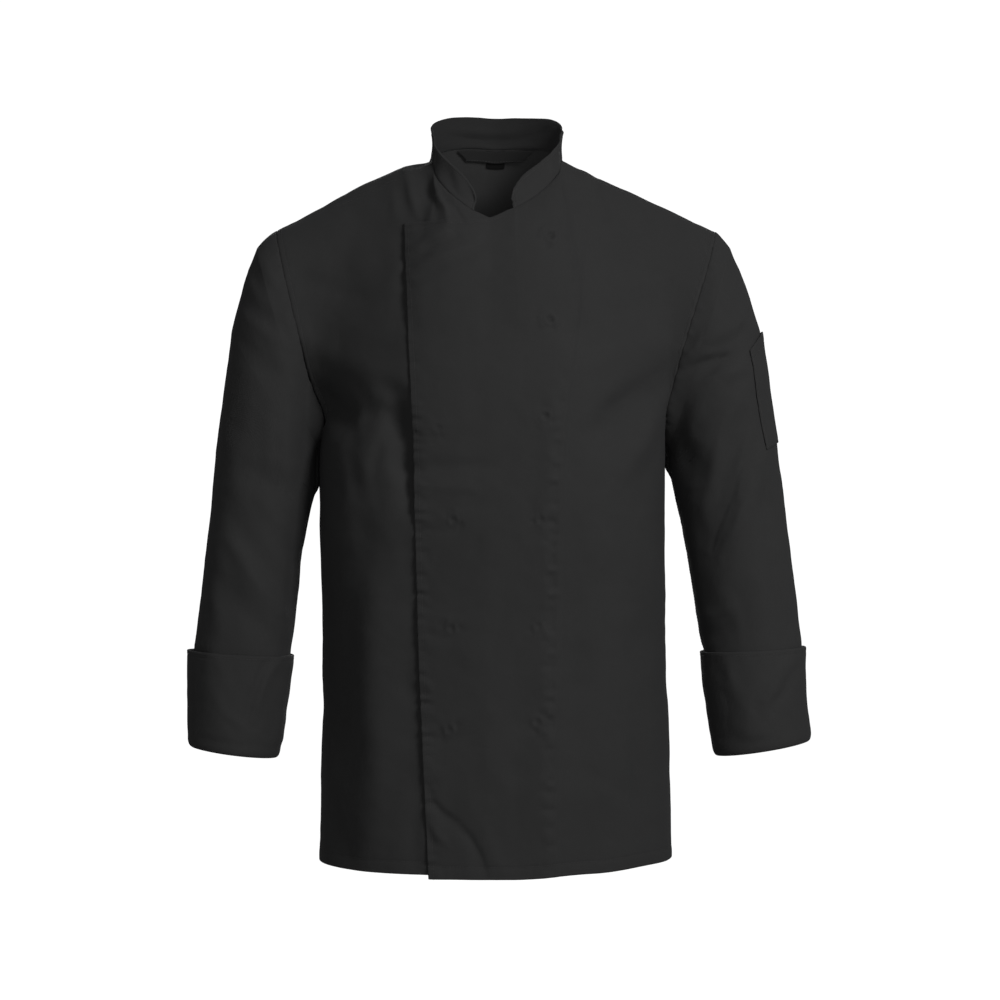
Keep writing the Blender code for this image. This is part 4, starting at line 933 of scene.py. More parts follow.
def crease_height(table, u, v, seed):
    """How far the table's folds move cloth out at these places of the picture, in metres."""
    warp_u = u + 4.0 * rough(u / 42, v / 42, seed) + 1.5 * rough(u / 15, v / 15, seed + 1)
    warp_v = v + 4.0 * rough(u / 42, v / 42, seed + 2)
    total = np.zeros(np.shape(u))
    for number, (u1, v1, u2, v2, bend, width, height, *lean) in enumerate(table):
        length = math.hypot(u2 - u1, v2 - v1)
        way_u, way_v = (u2 - u1) / length, (v2 - v1) / length
        along = ((warp_u - u1) * way_u + (warp_v - v1) * way_v) / length
        across = (warp_v - v1) * way_u - (warp_u - u1) * way_v - bend * 4 * along * (1 - along)
        wide = width * (1 + 0.25 * rough(along * length / 30, number, seed + 3))
        wide = wide * (1 - sum(lean) * np.where(across * height > 0, 1, -1))
        past = np.maximum(np.maximum(-along, along - 1), 0) * length / (width * 1.3)
        taper = 0.45 + 0.55 * np.sin(math.pi * (0.1 + 0.8 * np.clip(along, 0, 1)))
        uneven = 1 + 0.25 * rough(along * length / 24 + 7, number, seed + 4)
        total += height * taper * uneven * np.exp(-((across / wide) ** 2) - past**2)
    return total * CREASE_STRENGTH / 1000


def unevenness(u, v, seed):
    """The soft lumps that pressed cotton has all over, in metres."""
    broad = 0.75 * rough(u / 38, v / 60, seed) + 0.50 * rough(u / 19, v / 22, seed + 1)
    return (broad + 0.18 * rough(u / 9, v / 9, seed + 2)) / 1000


def facing(normals, face):
    """1 where cloth faces the front, for -1, or the back, for 1, and 0 where it faces away."""
    return smooth_step(0.45 + 1.1 * face * normals[..., 1])


def stud_height(points):
    """The rings of the hidden studs and the pull of their stitches, in metres."""
    u, v = seen(points)
    total = np.zeros(u.shape)
    for number, (stud_u, stud_v, strength, pull) in enumerate(STUDS):
        gap = np.hypot(u - stud_u, v - stud_v)
        turn = np.arctan2(v - stud_v, u - stud_u)
        ring = 0.75 * bell(gap - STUD_RING, 1.9)
        dip = -0.85 * bell(gap, 2.8) - 0.60 * bell(gap, 13.0)
        spokes = 0.75 * rough(turn * 1.6 + number, gap / 9, 40) * bell(gap - STUD_SPOKES, 6)
        total += strength * (ring + dip + spokes) / 1000
        if pull:
            lines = [(a, b + stud_v, c, d + stud_v, 0, w, h * pull) for a, b, c, d, w, h in STUD_PULLS]
            total += crease_height(lines, u, v, 50 + number)
    return total


def ridge_height(points):
    """The puckered ridge over the edge of the under front, in metres."""
    u, v = seen(points)
    gap = u - table_curve(RIDGE, "u", v)
    crest = gap + 6
    ridge = 1.5 * bell(crest, np.where(crest < 0, 11, 6))
    pucker = 2.4 * rough(v / 6.0, gap / 11, 60) * bell(gap + 2, 7)
    slow = 0.6 + 0.4 * rough(v / 33, 0.5, 61)
    return table_curve(RIDGE, "strength", v) * (ridge + pucker * slow) / 1000


def places(runs):
    """Places along a grid from a table of runs."""
    return np.concatenate([np.linspace(a, b, n + 1)[:-1] for a, b, n in runs] + [[runs[-1][1]]])


def refined(grid, rows, columns):
    """Points between those of a coarse grid, on smooth curves through them."""
    tall = curve_through(np.arange(len(grid)), grid, rows)
    wide = curve_through(np.arange(grid.shape[1]), np.swapaxes(tall, 0, 1), columns)
    return np.ascontiguousarray(np.swapaxes(wide, 0, 1))


def travelled(points, axis):
    """How far each point of a grid is along its row or column, in metres."""
    steps = np.linalg.norm(np.diff(points, axis=axis), axis=2)
    return np.cumsum(np.insert(steps, 0, 0, axis=axis), axis=axis)


class Cloth:
    """One piece of cloth: its outer points as sewn, and what its sewn edges and stitches need."""

    def __init__(self, name, points, rows=None, columns=None, thick=SHELL, slot="twill", relief=None):
        self.name = name
        self.points = points
        self.rows = np.linspace(0, 1, len(points)) if rows is None else rows
        self.columns = np.linspace(0, 1, points.shape[1]) if columns is None else columns
        self.thick = thick
        self.slot = slot
        self.up, self.across = travelled(points, 0), travelled(points, 1)
        self.normals = grid_normals(points)
        self.own_relief = relief
        self.seams = SEAMS.get(name, ())

    def edge(self, name):
        """How far in each point is from that edge, how far along it, and its place along it."""
        if name in ("first", "last"):
            inward = self.across if name == "first" else self.across[:, -1:] - self.across
            return inward, self.up, self.rows[:, None]
        inward = self.up if name == "bottom" else self.up[-1:] - self.up
        return inward, self.across, self.columns[None, :]

    def finished(self):
        """The outer points with the sewn edges pressed in."""
        height = np.zeros(self.points.shape[:2])
        for number, (edge, start, end, inset, groove, ditch, pucker) in enumerate(self.seams):
            inward, along, place = self.edge(edge)
            fade = np.max(self.columns if edge in ("top", "bottom") else self.rows) / 60
            within = smooth_step((place - start) / fade + 1) * smooth_step((end - place) / fade + 1)
            relief = -ditch * np.exp(-((inward / DITCH_WIDTH) ** 1.5))
            reach = inset / 1000
            if inset:
                relief = relief + 0.5 * groove * np.sin(math.pi * np.clip(inward / reach, 0, 1))
                relief = relief - groove * bell(inward - reach, GROOVE_WIDTH)
            waves = rough(along / PUCKER_PITCH, inward / 0.02, 10 * number + len(self.name))
            waves = waves * (0.65 + 0.35 * rough(along / 0.045, 0.5, number))
            waves = waves * np.exp(-((np.abs(inward - reach * 0.8) / PUCKER_REACH) ** 3))
            height += (relief + pucker * waves) * within / 1000
        if self.own_relief is not None:
            height = height + self.own_relief(self.points)
        return self.points + self.normals * height[..., None]

    def stitch_lines(self, lift):
        """Lines of points on the finished cloth where its stitches run."""
        outer = self.finished()
        raised = outer + grid_normals(outer) * lift
        lines = []
        for edge, start, end, inset, *_ in self.seams:
            if not inset:
                continue
            inward, _, place = self.edge(edge)
            grid = raised
            if edge in ("top", "bottom"):
                inward, grid = inward.T, np.swapaxes(raised, 0, 1)
            at = np.nonzero((np.ravel(place) >= start) & (np.ravel(place) <= end))[0]
            lines.append(on_grid(grid, at, np.array([place_of(inset / 1000, inward[k]) for k in at])))
        return lines


def folded_body(points, side, rows):
    """A front, for side 1 or -1, or the back, for 0, with its folds."""
    normals = grid_normals(points) * (-1 if side < 0 else 1)
    u, v = seen(points)
    height = fold_height(BODY_FOLDS, points) + unevenness(u, v, 3)
    height = height + crease_height(FRONT_CREASES, u, v, 5) * facing(normals, -1)
    height = height + crease_height(BACK_CREASES, u, v, 9) * facing(normals, 1)
    if side < 0:
        height = height + crease_height(UNDER_CREASES, u, v, 7) * facing(normals, -1)
    if side:
        height = height + lifted(points, side)
    folded = points + normals * height[..., None]
    hem = np.clip(1 - rows / 3.0, 0, 1)[:, None]
    if side > 0:
        folded[..., 2] -= hem * HEM_DROP_OVER * smooth_step((0.10 - folded[..., 0]) / 0.08)
    folded[..., 2] += hem * HEM_RISE_LEFT * smooth_step((folded[..., 0] - 0.10) / 0.06)
    return folded


def sew(one, other):
    """Moves two grids so that their first columns meet, and the cloth near them by less and less."""
    middle = (one[:, 0] + other[:, 0]) / 2
    for grid in (one, other):
        fade = bell(travelled(grid, 1), SEW_REACH)
        grid += (middle - grid[:, 0])[:, None] * fade[..., None]


def sewn_body():
    """The two fronts and the back as smooth fine grids, sewn at the sides and shoulders."""
    rows, behind = places(BODY_ROW_RUNS), places(BACK_COLUMN_RUNS)
    left_grid, right_grid = front_grid(1), front_grid(-1)
    left = folded_body(refined(left_grid, rows, places(FRONT_COLUMN_RUNS[1])), 1, rows)
    right = folded_body(refined(right_grid, rows, places(FRONT_COLUMN_RUNS[-1])), -1, rows)
    coarse_back = relax_back(back_grid(), left_grid, right_grid)
    back = folded_body(refined(coarse_back, rows, behind), 0, rows)
    under = int(np.searchsorted(rows, BODY_ROWS)) + 1
    shoulder = int(np.searchsorted(behind, SHOULDER_COLUMNS)) + 1
    for own, theirs in ((left, back[:, ::-1]), (right, back)):
        sew(own[:under], theirs[:under])
        sew(np.swapaxes(own[::-1, :shoulder], 0, 1), np.swapaxes(theirs[::-1, :shoulder], 0, 1))
    return left, right, back


def armhole_line(front, back, rows):
    """The armhole from under the arm up the back and down the front, and how far round each point is.

    The turn is 0 at the shoulder and half a turn under the arm, less than 0 behind.
    """
    above = rows >= BODY_ROWS
    turn = 0.5 * (rows[above] - TOP_ROW) / ARM_ROWS
    line = np.concatenate([back[above], front[above][::-1][1:]])
    return line, np.concatenate([turn, -turn[::-1][1:]])


def folded_sleeve(side, line, turns):
    """A sleeve's fine grid, opened along its seam under the arm, with rings from the armhole down."""
    points = sleeve_grid(side, line, turns)
    normals = grid_normals(points) * -side
    down = travelled(points, 0)
    ring = 16 * (down / down[-1:]) ** (1 / 1.3)
    u, v = seen(points)
    front = crease_height(SLEEVE_CREASES[side], u, v, 15) * facing(normals, -1)
    behind = crease_height(SLEEVE_CREASES[side], u + 6, v - 14, 17) * facing(normals, 1) * 0.9
    puffed = SLEEVE_PUFF * bell(down - PUFF_BELOW, PUFF_WIDTH) * smooth_step(1 - 3 * np.abs(turns))
    height = fold_height(SLEEVE_FOLDS[side], points) * smooth_step(ring / 3.0)
    height = height + (front + behind + unevenness(u, v, 19)) * smooth_step(down / 0.02)
    points = points + normals * (height + puffed + pressed(side, points, turns))[..., None]
    points[:, 0] = points[:, -1] = (points[:, 0] + points[:, -1]) / 2
    return points


def pressed(side, points, turns):
    """How far a sleeve bulges towards the body just below the armhole, where it hides the gap."""
    height, top, bottom = PRESS[side]
    z = points[:, :1, 2]
    reach = smooth_step((top - z) / 0.010 + 0.5) * smooth_step((z - bottom) / 0.014 + 0.5)
    return height * reach * bell(turns + PRESS_TURN, PRESS_WIDTH)


def cuff_cloth(side, points, turns):
    """A turned-back cuff, from its loose edge down the outside, round the fold and up inside."""
    normals = grid_normals(points)
    steps = np.linalg.norm(np.diff(points, axis=0), axis=2).mean(axis=1)
    from_end = np.concatenate([np.cumsum(steps[::-1])[::-1], [0.0]])

    def ring_at(along, out):
        """The sleeve's ring that far from its end, moved out."""
        place = (place_of(along, from_end), np.arange(points.shape[1])[None, :])
        return on_grid(points, *place) + on_grid(normals, *place) * np.asarray(out)[..., None]

    outer_line = np.clip(np.cos(turns * 2 * math.pi), 0, 1) ** 2
    stand = CUFF_OUT + (CUFF_OUTER_LINE[side] - CUFF_OUT) * outer_line
    inside = CLOTH + LAYER + CUFF_CLOTH
    outside = np.linspace(CUFF_UP, 0, CUFF_ROWS + 1)
    grid = [ring_at(along, stand + CUFF_FLARE * along / CUFF_UP) for along in outside]
    down = unit((points[-1] - points[-2]).mean(axis=0))
    for angle in np.linspace(0, math.pi, CUFF_FOLD_ROWS + 2)[1:-1]:
        across = (stand - inside) / 2 + (stand + inside) / 2 * math.cos(angle)
        grid.append(ring_at(0.0, across) + down * CUFF_FOLD * math.sin(angle))
    grid += [ring_at(along, -inside) for along in np.linspace(0.0, CUFF_INSIDE, CUFF_INSIDE_ROWS)]
    grid = np.concatenate(grid, axis=0)
    out = grid_normals(grid)
    u, v = seen(grid)
    height = crease_height(CUFF_CREASES[side], u, v, 25) * facing(out, -1)
    height = height + crease_height(CUFF_CREASES[side], u - 9, v + 5, 27) * facing(out, 1)
    height = height + 0.7 * unevenness(u, v, 29)
    height = height * smooth_step((CUFF_ROWS - np.arange(len(grid))) / 4.0)[:, None]
    grid = grid + out * np.maximum(height, -CUFF_DEEPEST)[..., None]
    grid[:, 0] = grid[:, -1] = (grid[:, 0] + grid[:, -1]) / 2
    return Cloth("cuff_" + SIDES[side], grid, thick=CUFF_SHELL)


def pocket_cloth(points, turns):
    """The pen pocket on the wearer's left sleeve, from the sleeve's own points moved out."""
    outer_z = points[:, int(round(place_of(0.0, turns))), 2]
    top, bottom = place_of(POCKET_TOP_Z, outer_z), place_of(POCKET_BOTTOM_Z, outer_z)
    front, rear = place_of(POCKET_FRONT_TURN, turns), place_of(POCKET_BACK_TURN, turns)
    down, across = np.linspace(0, 1, POCKET_GRID[0])[:, None], np.linspace(0, 1, POCKET_GRID[1])
    place = (top + (bottom - top) * down, min(front, rear) + abs(rear - front) * across)
    out = LAYER + POCKET_CLOTH + POCKET_GAPE * (1 - down) ** 2 * np.sin(math.pi * across)
    grid = on_grid(points, *place) + on_grid(grid_normals(points), *place) * out[..., None]
    return Cloth("sleeve_pocket", grid, thick=POCKET_SHELL)


def collar_cloth(left, right, back):
    """The stand collar, on the neckline of the two fronts and the back."""
    behind = places(BACK_COLUMN_RUNS)
    on_back = (behind > SHOULDER_COLUMNS) & (behind < BACK_COLUMNS - SHOULDER_COLUMNS)
    lines, front_places = [], []
    for side, front in ((-1, right), (1, left)):
        columns = places(FRONT_COLUMN_RUNS[side])
        on_neck = (columns >= SHOULDER_COLUMNS) & (columns <= SHOULDER_COLUMNS + NECK_COLUMNS)
        lines.append(front[-1, on_neck][::-1])
        length = run_length(lines[-1])
        front_places.append(length / length[-1])
    base = np.concatenate([lines[0], back[-1, on_back], lines[1][::-1]])
    back_place = 1 + (behind[on_back] - SHOULDER_COLUMNS) / NECK_COLUMNS
    place = np.concatenate([front_places[0], back_place, 4 - front_places[1][::-1]])
    mirrored = np.where(place > 2, 4 - place, place)
    height, lean, sweep = (table_curve(COLLAR, name, mirrored) for name in ("height", "lean", "sweep"))
    lean = lean - COLLAR_LEAN_LESS * bell(place - 1.4, 0.4)
    along = run_length(base)
    from_end = np.minimum(along, along[-1] - along)
    corner = np.sqrt(1 - (1 - np.clip(from_end / COLLAR_CORNER, 0, 1)) ** 2)
    height = COLLAR_END_HEIGHT + (height - COLLAR_END_HEIGHT) * corner
    way = np.gradient(base, along, axis=0)
    way[:, 2] = 0
    for _ in range(12):
        way[1:-1] = (way[:-2] + 2 * way[1:-1] + way[2:]) / 4
    way = unit(way)
    outward = np.stack([-way[:, 1], way[:, 0], np.zeros(len(way))], axis=1)
    rise = np.linspace(0, 1, COLLAR_ROWS + 1)[:, None, None]
    way_up = unit(UP + lean[:, None] * outward + sweep[:, None] * np.array([0.0, 1.0, 0.0]))
    grid = base + rise * way_up * height[:, None]
    grid = grid - outward * (np.sin(math.pi * rise) * COLLAR_BELLY)
    u, v = seen(grid)
    normals = grid_normals(grid)
    height = crease_height(COLLAR_CREASES, u, v, 33) * (facing(normals, -1) - facing(normals, 1))
    height = (height + 0.5 * unevenness(u, v, 35)) * smooth_step(rise[..., 0] * 4)
    return Cloth("collar", grid + normals * height[..., None], thick=COLLAR_CLOTH)


def neck_tape(name, back, halves, height, away, stand):
    """A tape on the inside of the back neck, sewn along its top, from the back's own points moved in."""
    points, normals = back.points, back.normals
    count = points.shape[1]
    middle = np.arange(count)[int(count * 0.3) + 1 : math.ceil(count * 0.7)]
    rows = []
    for down in np.linspace(0, 1, TAPE_GRID[0]):
        half = halves[0] + (halves[1] - halves[0]) * down
        x = (CENTRE_X + NECK_X) / 2 + half * np.linspace(1, -1, TAPE_GRID[1])
        columns = np.interp(x, points[-1, middle, 0], middle)
        depth = (back.up[-1] - back.up)[:, np.round(columns).astype(int)]
        at = np.array([place_of(LOOP_BELOW + height * down, line) for line in depth.T])
        off = CLOTH + away + TAPE + stand * down**0.7
        rows.append(on_grid(points, at, columns) - unit(on_grid(normals, at, columns)) * off)
    return Cloth(name, np.array(rows)[::-1], thick=TAPE, slot="tape")


@lru_cache(maxsize=None)
def jacket():
    """Every piece of cloth as it is sewn, by name."""
    left, right, back = sewn_body()
    rows = places(BODY_ROW_RUNS)

    def top_relief(points):
        in_front = smooth_step((-points[..., 1] - 0.03) / 0.02)
        return (stud_height(points) + ridge_height(points)) * in_front

    whole_back = Cloth("back", back, rows, places(BACK_COLUMN_RUNS))
    pieces = [
        Cloth("front_left", left, rows, places(FRONT_COLUMN_RUNS[1]), relief=top_relief),
        Cloth("front_right", right[:, ::-1], rows, places(FRONT_COLUMN_RUNS[-1])[::-1]),
        whole_back,
        collar_cloth(left, right, back),
    ]
    for side, front, behind in ((1, left[:, 0], back[:, -1]), (-1, right[:, 0], back[:, 0])):
        line, turns = armhole_line(front, behind, rows)
        points = folded_sleeve(side, line, turns)
        if side > 0:
            points, turns = points[:, ::-1], turns[::-1]
        pieces += [Cloth("sleeve_" + SIDES[side], points), cuff_cloth(side, points, turns)]
        if side > 0:
            pieces.append(pocket_cloth(points, turns))
    over_label = 2 * LAYER + TAPE
    pieces.append(neck_tape("hanger_loop", whole_back, LOOP_HALVES, LOOP_HEIGHT, over_label, LOOP_STAND))
    pieces.append(neck_tape("size_label", whole_back, LABEL_HALVES, LABEL_HEIGHT, LAYER, 0.0))
    return {piece.name: piece for piece in pieces}


def cloth_mesh(cloth):
    """A thin shell from a piece of cloth, with a rounded rim and a coarser inner side.

    Its UV map holds how far along and across the cloth each point is, in metres.
    """
    outer = cloth.finished()
    normals = grid_normals(outer)
    rows, columns = outer.shape[:2]
    inner = (outer - normals * cloth.thick)[::2, ::2]
    number = np.arange(rows * columns).reshape(rows, columns)
    under = number.size + np.arange(inner.shape[0] * inner.shape[1]).reshape(inner.shape[:2])
    i, j = around(rows, columns)
    ring, inner_ring = number[i, j], under[around(*under.shape)]
    band = number.size + under.size + np.arange(len(ring))
    rim, out = outer[i, j], normals[i, j]
    away = unit(np.cross(np.roll(rim, -1, axis=0) - np.roll(rim, 1, axis=0), out))
    inward = outer[np.clip(i, 1, rows - 2), np.clip(j, 1, columns - 2)] - rim
    away = away * -np.sign((away * inward).sum(axis=1, keepdims=True))
    middle = rim - out * cloth.thick / 2 + away * cloth.thick * RIM_OUT
    start, after = band[0::2], band[1::2]
    quads = np.concatenate([
        cells(number),
        cells(under)[:, ::-1],
        np.stack([np.roll(ring, -1), ring, band, np.roll(band, -1)], axis=-1),
        np.stack([np.roll(start, -1), after, inner_ring, np.roll(inner_ring, -1)], axis=-1),
    ])
    triangles = np.stack([after, start, inner_ring], axis=-1)
    loops = np.concatenate([triangles.ravel(), quads.ravel()])
    starts = np.concatenate([3 * np.arange(len(triangles)), triangles.size + 4 * np.arange(len(quads))])
    corners = np.concatenate([outer.reshape(-1, 3), inner.reshape(-1, 3), middle])
    spot = np.stack([cloth.across, cloth.up], axis=-1)
    spot = np.concatenate([spot.reshape(-1, 2), spot[::2, ::2].reshape(-1, 2), spot[i, j]])
    # painted shade: the collar's inner points are marked so that its inner side is coloured darker
    inner_side = np.zeros(len(corners), np.float32)
    if cloth.name == "collar":
        inner_side[under.ravel()] = 1.0
    mesh = bpy.data.meshes.new(cloth.name)
    mesh.vertices.add(len(corners))
    mesh.vertices.foreach_set("co", corners.astype(np.float32).ravel())
    mesh.loops.add(len(loops))
    mesh.loops.foreach_set("vertex_index", loops.astype(np.int32))
    mesh.polygons.add(len(starts))
    mesh.polygons.foreach_set("loop_start", starts.astype(np.int32))
    mesh.update(calc_edges=True)
    mesh.uv_layers.new(name="cloth").data.foreach_set("uv", spot[loops].astype(np.float32).ravel())
    mesh.attributes.new("inner_side", "FLOAT", "POINT").data.foreach_set("value", inner_side)
    mesh.shade_smooth()
    return mesh


def cells(number):
    """The four corners of each cell of a grid of point numbers."""
    a, b, c, d = number[:-1, :-1], number[1:, :-1], number[1:, 1:], number[:-1, 1:]
    return np.stack([a, b, c, d], axis=-1).reshape(-1, 4)


def around(rows, columns):
    """The rows and the columns of the points round the edge of a grid of that size."""
    down, across = np.arange(rows), np.arange(columns)
    i = (down, np.full(columns - 1, rows - 1), down[-2::-1], np.zeros(columns - 2, int))
    j = (np.zeros(rows, int), across[1:], np.full(rows - 1, columns - 1), across[-2:0:-1])
    return np.concatenate(i), np.concatenate(j)


class Wire:
    """A number that varies over a surface. Maths on it adds Math nodes to the material."""

    def __init__(self, shade, socket):
        self.shade = shade
        self.socket = socket

    def maths(self, operation, *values):
        return self.shade.node("ShaderNodeMath", {"operation": operation}, dict(enumerate(values)))

    def __add__(self, other):
        return self.maths("ADD", self, other)

    def __sub__(self, other):
        return self.maths("SUBTRACT", self, other)

    def __mul__(self, other):
        return self.maths("MULTIPLY", self, other)

    __radd__ = __add__

    def sine(self):
        return self.maths("SINE", self)

    def clipped(self):
        return self.maths("MINIMUM", self.maths("MAXIMUM", self, 0.0), 1.0)


def plug(tree, socket, value):
    """Links a wire or a socket to a node's input, or sets its value."""
    value = value.socket if isinstance(value, Wire) else value
    if isinstance(value, bpy.types.NodeSocket):
        tree.links.new(value, socket)
    else:
        socket.default_value = value


def add_node(tree, kind, settings, inputs):
    """Adds a node of that kind, with its settings first, then what its inputs hold."""
    made = tree.nodes.new(kind)
    for name, value in settings.items():
        setattr(made, name, value)
    for name, value in inputs.items():
        plug(tree, made.inputs[name], value)
    return made


class Shade:
    """A material's nodes, with one method that adds any of them."""

    def __init__(self, name):
        self.material = bpy.data.materials.new(name)
        self.material.use_nodes = True
        self.tree = self.material.node_tree
        self.surface = self.tree.nodes["Principled BSDF"]

    def node(self, kind, settings, inputs, output=0):
        return Wire(self, add_node(self.tree, kind, settings, inputs).outputs[output])

    def finish(self, inputs):
        """Sets the surface's inputs and gives the material back."""
        for name, value in inputs.items():
            plug(self.tree, self.surface.inputs[name], value)
        return self.material


def noise(shade, place, scale, detail, roughness=0.5):
    inputs = {"Vector": place, "Scale": scale, "Detail": detail, "Roughness": roughness}
    return shade.node("ShaderNodeTexNoise", {}, inputs)


def scaled(colour, factor):
    return tuple(value * factor for value in colour)


def blended(shade, share, low, high):
    """A colour between two, by a share that varies."""
    low, high = (end if isinstance(end, Wire) else (*end, 1.0) for end in (low, high))
    return shade.node("ShaderNodeMix", {"data_type": "RGBA"}, {0: share, 6: low, 7: high}, 2)


def twill_material(name, colour, rib, rib_depth, lint):
    """Woven cotton: slanting ribs, threads across them, faint uneven dye and lint, and painted shade
    inside the collar.
    """
    shade = Shade(name)
    cloth = shade.node("ShaderNodeUVMap", {"uv_map": "cloth"}, {})
    solid = shade.node("ShaderNodeTexCoord", {}, {}, "Object")
    across, up = (shade.node("ShaderNodeSeparateXYZ", {}, {0: cloth}, axis) for axis in (0, 1))
    turn = 2 * math.pi / rib
    wander = noise(shade, cloth, scale=260.0, detail=2.0) * (rib * 0.5)
    ribs = ((across + up + wander) * turn).sine()
    threads = ((across - up) * (turn * 1.7)).sine()
    weave = ribs * 0.7 + threads * 0.3
    fuzz = noise(shade, cloth, scale=1900.0, detail=3.0, roughness=0.65)
    dye = noise(shade, solid, scale=14.0, detail=4.0, roughness=0.6)
    specks = noise(shade, cloth, scale=700.0, detail=4.0, roughness=0.7)
    share = (dye - 0.5) * 0.45 + (fuzz - 0.5) * 0.8 + weave * 0.10 + (specks - 0.5) * lint + 0.5
    share = share.clipped()
    ends = [scaled(colour, factor) for factor in YARN_SHADES]
    # painted shade: the collar's inner side gets a darker copy of the cloth's colours
    inner_side = shade.node("ShaderNodeAttribute", {"attribute_name": "inner_side"}, {}, "Fac")
    outer = blended(shade, share, *ends)
    inner = blended(shade, share, *(scaled(end, COLLAR_INSIDE_PAINTED_SHADE) for end in ends))
    height = weave * (rib_depth * 0.5) + fuzz * (rib_depth * 0.9)
    height = height + noise(shade, cloth, scale=120.0, detail=3.0, roughness=0.55) * SLUB_HEIGHT
    relief = {"Strength": 0.8, "Distance": 1.0, "Height": height}
    return shade.finish({
        "Base Color": blended(shade, inner_side, outer, inner),
        "Roughness": (0.86 + (fuzz - 0.5) * 0.16).clipped(),
        "Normal": shade.node("ShaderNodeBump", {}, relief, "Normal"),
        "Specular IOR Level": 0.12,
        "Sheen Weight": 0.03,
        "Sheen Roughness": 0.55,
        "Sheen Tint": (0.75, 0.76, 0.80, 1.0),
    })


def thread_material(name, colour):
    """Twisted sewing thread."""
    shade = Shade(name)
    solid = shade.node("ShaderNodeTexCoord", {}, {}, "Object")
    fuzz = noise(shade, solid, scale=900.0, detail=2.0)
    return shade.finish({
        "Base Color": blended(shade, fuzz, colour, scaled(colour, 1.35)),
        "Roughness": (0.6 + fuzz * 0.2).clipped(),
        "Specular IOR Level": 0.35,
    })


def stage_material(name, colour):
    """Pale paper, so bright that the camera sees no shade on it."""
    shade = Shade(name)
    solid = shade.node("ShaderNodeTexCoord", {}, {}, "Object")
    grain = noise(shade, solid, scale=3.0, detail=3.0)
    return shade.finish({
        "Base Color": blended(shade, grain, scaled(colour, 0.985), colour),
        "Roughness": (0.85 + grain * 0.08).clipped(),
        "Emission Color": (1.0, 1.0, 1.0, 1.0),
        "Emission Strength": 0.9,
    })


def stitch_tree():
    """A Geometry Nodes tree that lays small rounded stitches along the lines of a mesh."""
    tree = bpy.data.node_groups.new("Stitches", "GeometryNodeTree")
    for name, kind in (
        ("Lines", "Geometry"),
        ("Pitch", "Float"),
        ("Stitch", "Float"),
        ("Thickness", "Float"),
        ("Thread", "Material"),
    ):
        tree.interface.new_socket(name=name, in_out="INPUT", socket_type="NodeSocket" + kind)
    tree.interface.new_socket(name="Stitches", in_out="OUTPUT", socket_type="NodeSocketGeometry")

    def node(kind, inputs, output=0, **settings):
        return add_node(tree, kind, settings, inputs).outputs[output]

    start = add_node(tree, "NodeGroupInput", {}, {}).outputs
    curve = node("GeometryNodeMeshToCurve", {"Mesh": start["Lines"]})
    spots = {"Curve": curve, "Length": start["Pitch"]}
    spots = add_node(tree, "GeometryNodeCurveToPoints", {"mode": "LENGTH"}, spots).outputs
    half = node("ShaderNodeMath", {0: start["Stitch"], 1: 0.5}, operation="MULTIPLY")
    thick = start["Thickness"]
    laid = {
        "Points": spots["Points"],
        "Instance": node("GeometryNodeMeshUVSphere", {"Segments": 6, "Rings": 4, "Radius": 1.0}, "Mesh"),
        "Rotation": node("FunctionNodeAlignRotationToVector", {"Vector": spots["Tangent"]}, axis="Z"),
        "Scale": node("ShaderNodeCombineXYZ", {"X": thick, "Y": thick, "Z": half}),
    }
    real = node("GeometryNodeRealizeInstances", {"Geometry": node("GeometryNodeInstanceOnPoints", laid)})
    smooth = node("GeometryNodeSetShadeSmooth", {0: real, "Shade Smooth": True})
    dressed = node("GeometryNodeSetMaterial", {"Geometry": smooth, "Material": start["Thread"]})
    add_node(tree, "NodeGroupOutput", {}, {"Stitches": dressed})
    return tree


def stitched_object(name, lines, tree, settings, thread):
    """A plain mesh of stitches along lines of points."""
    corners, edges = [], []
    for line in lines:
        edges += [(k - 1, k) for k in range(len(corners) + 1, len(corners) + len(line))]
        corners += line.tolist()
    paths = bpy.data.meshes.new(name + "_lines")
    paths.from_pydata(corners, edges, [])
    holder = bpy.data.objects.new(name + "_lines", paths)
    bpy.context.scene.collection.objects.link(holder)
    modifier = holder.modifiers.new("Stitches", "NODES")
    modifier.node_group = tree
    values = {
        "Pitch": settings.stitch_pitch,
        "Stitch": settings.stitch_length,
        "Thickness": settings.thread_thickness / 2,
        "Thread": thread,
    }
    for item in tree.interface.items_tree:
        if item.in_out == "INPUT" and item.name in values:
            modifier[item.identifier] = values[item.name]
    graph = bpy.context.evaluated_depsgraph_get()
    mesh = bpy.data.meshes.new_from_object(holder.evaluated_get(graph), depsgraph=graph)
    mesh.name = name
    bpy.data.objects.remove(holder)
    bpy.data.meshes.remove(paths)
    return placed(name, mesh, thread)


def placed(name, mesh, material):
    """An object at the origin with that mesh and material."""
    mesh.materials.clear()
    mesh.materials.append(material)
    thing = bpy.data.objects.new(name, mesh)
    bpy.context.scene.collection.objects.link(thing)
    return thing


def material_once(name, maker, *values):
    return bpy.data.materials.get(name) or maker(name, *values)


def colour_setting(name, description, grey):
    return FloatVectorProperty(
        name=name, description=description, subtype="COLOR", size=3, min=0, max=1, default=(grey,) * 3
    )


def length_setting(name, description, default, low, high, precision=5):
    return FloatProperty(
        name=name,
        description=description,
        subtype="DISTANCE",
        unit="LENGTH",
        default=default,
        min=low,
        max=high,
        precision=precision,
    )


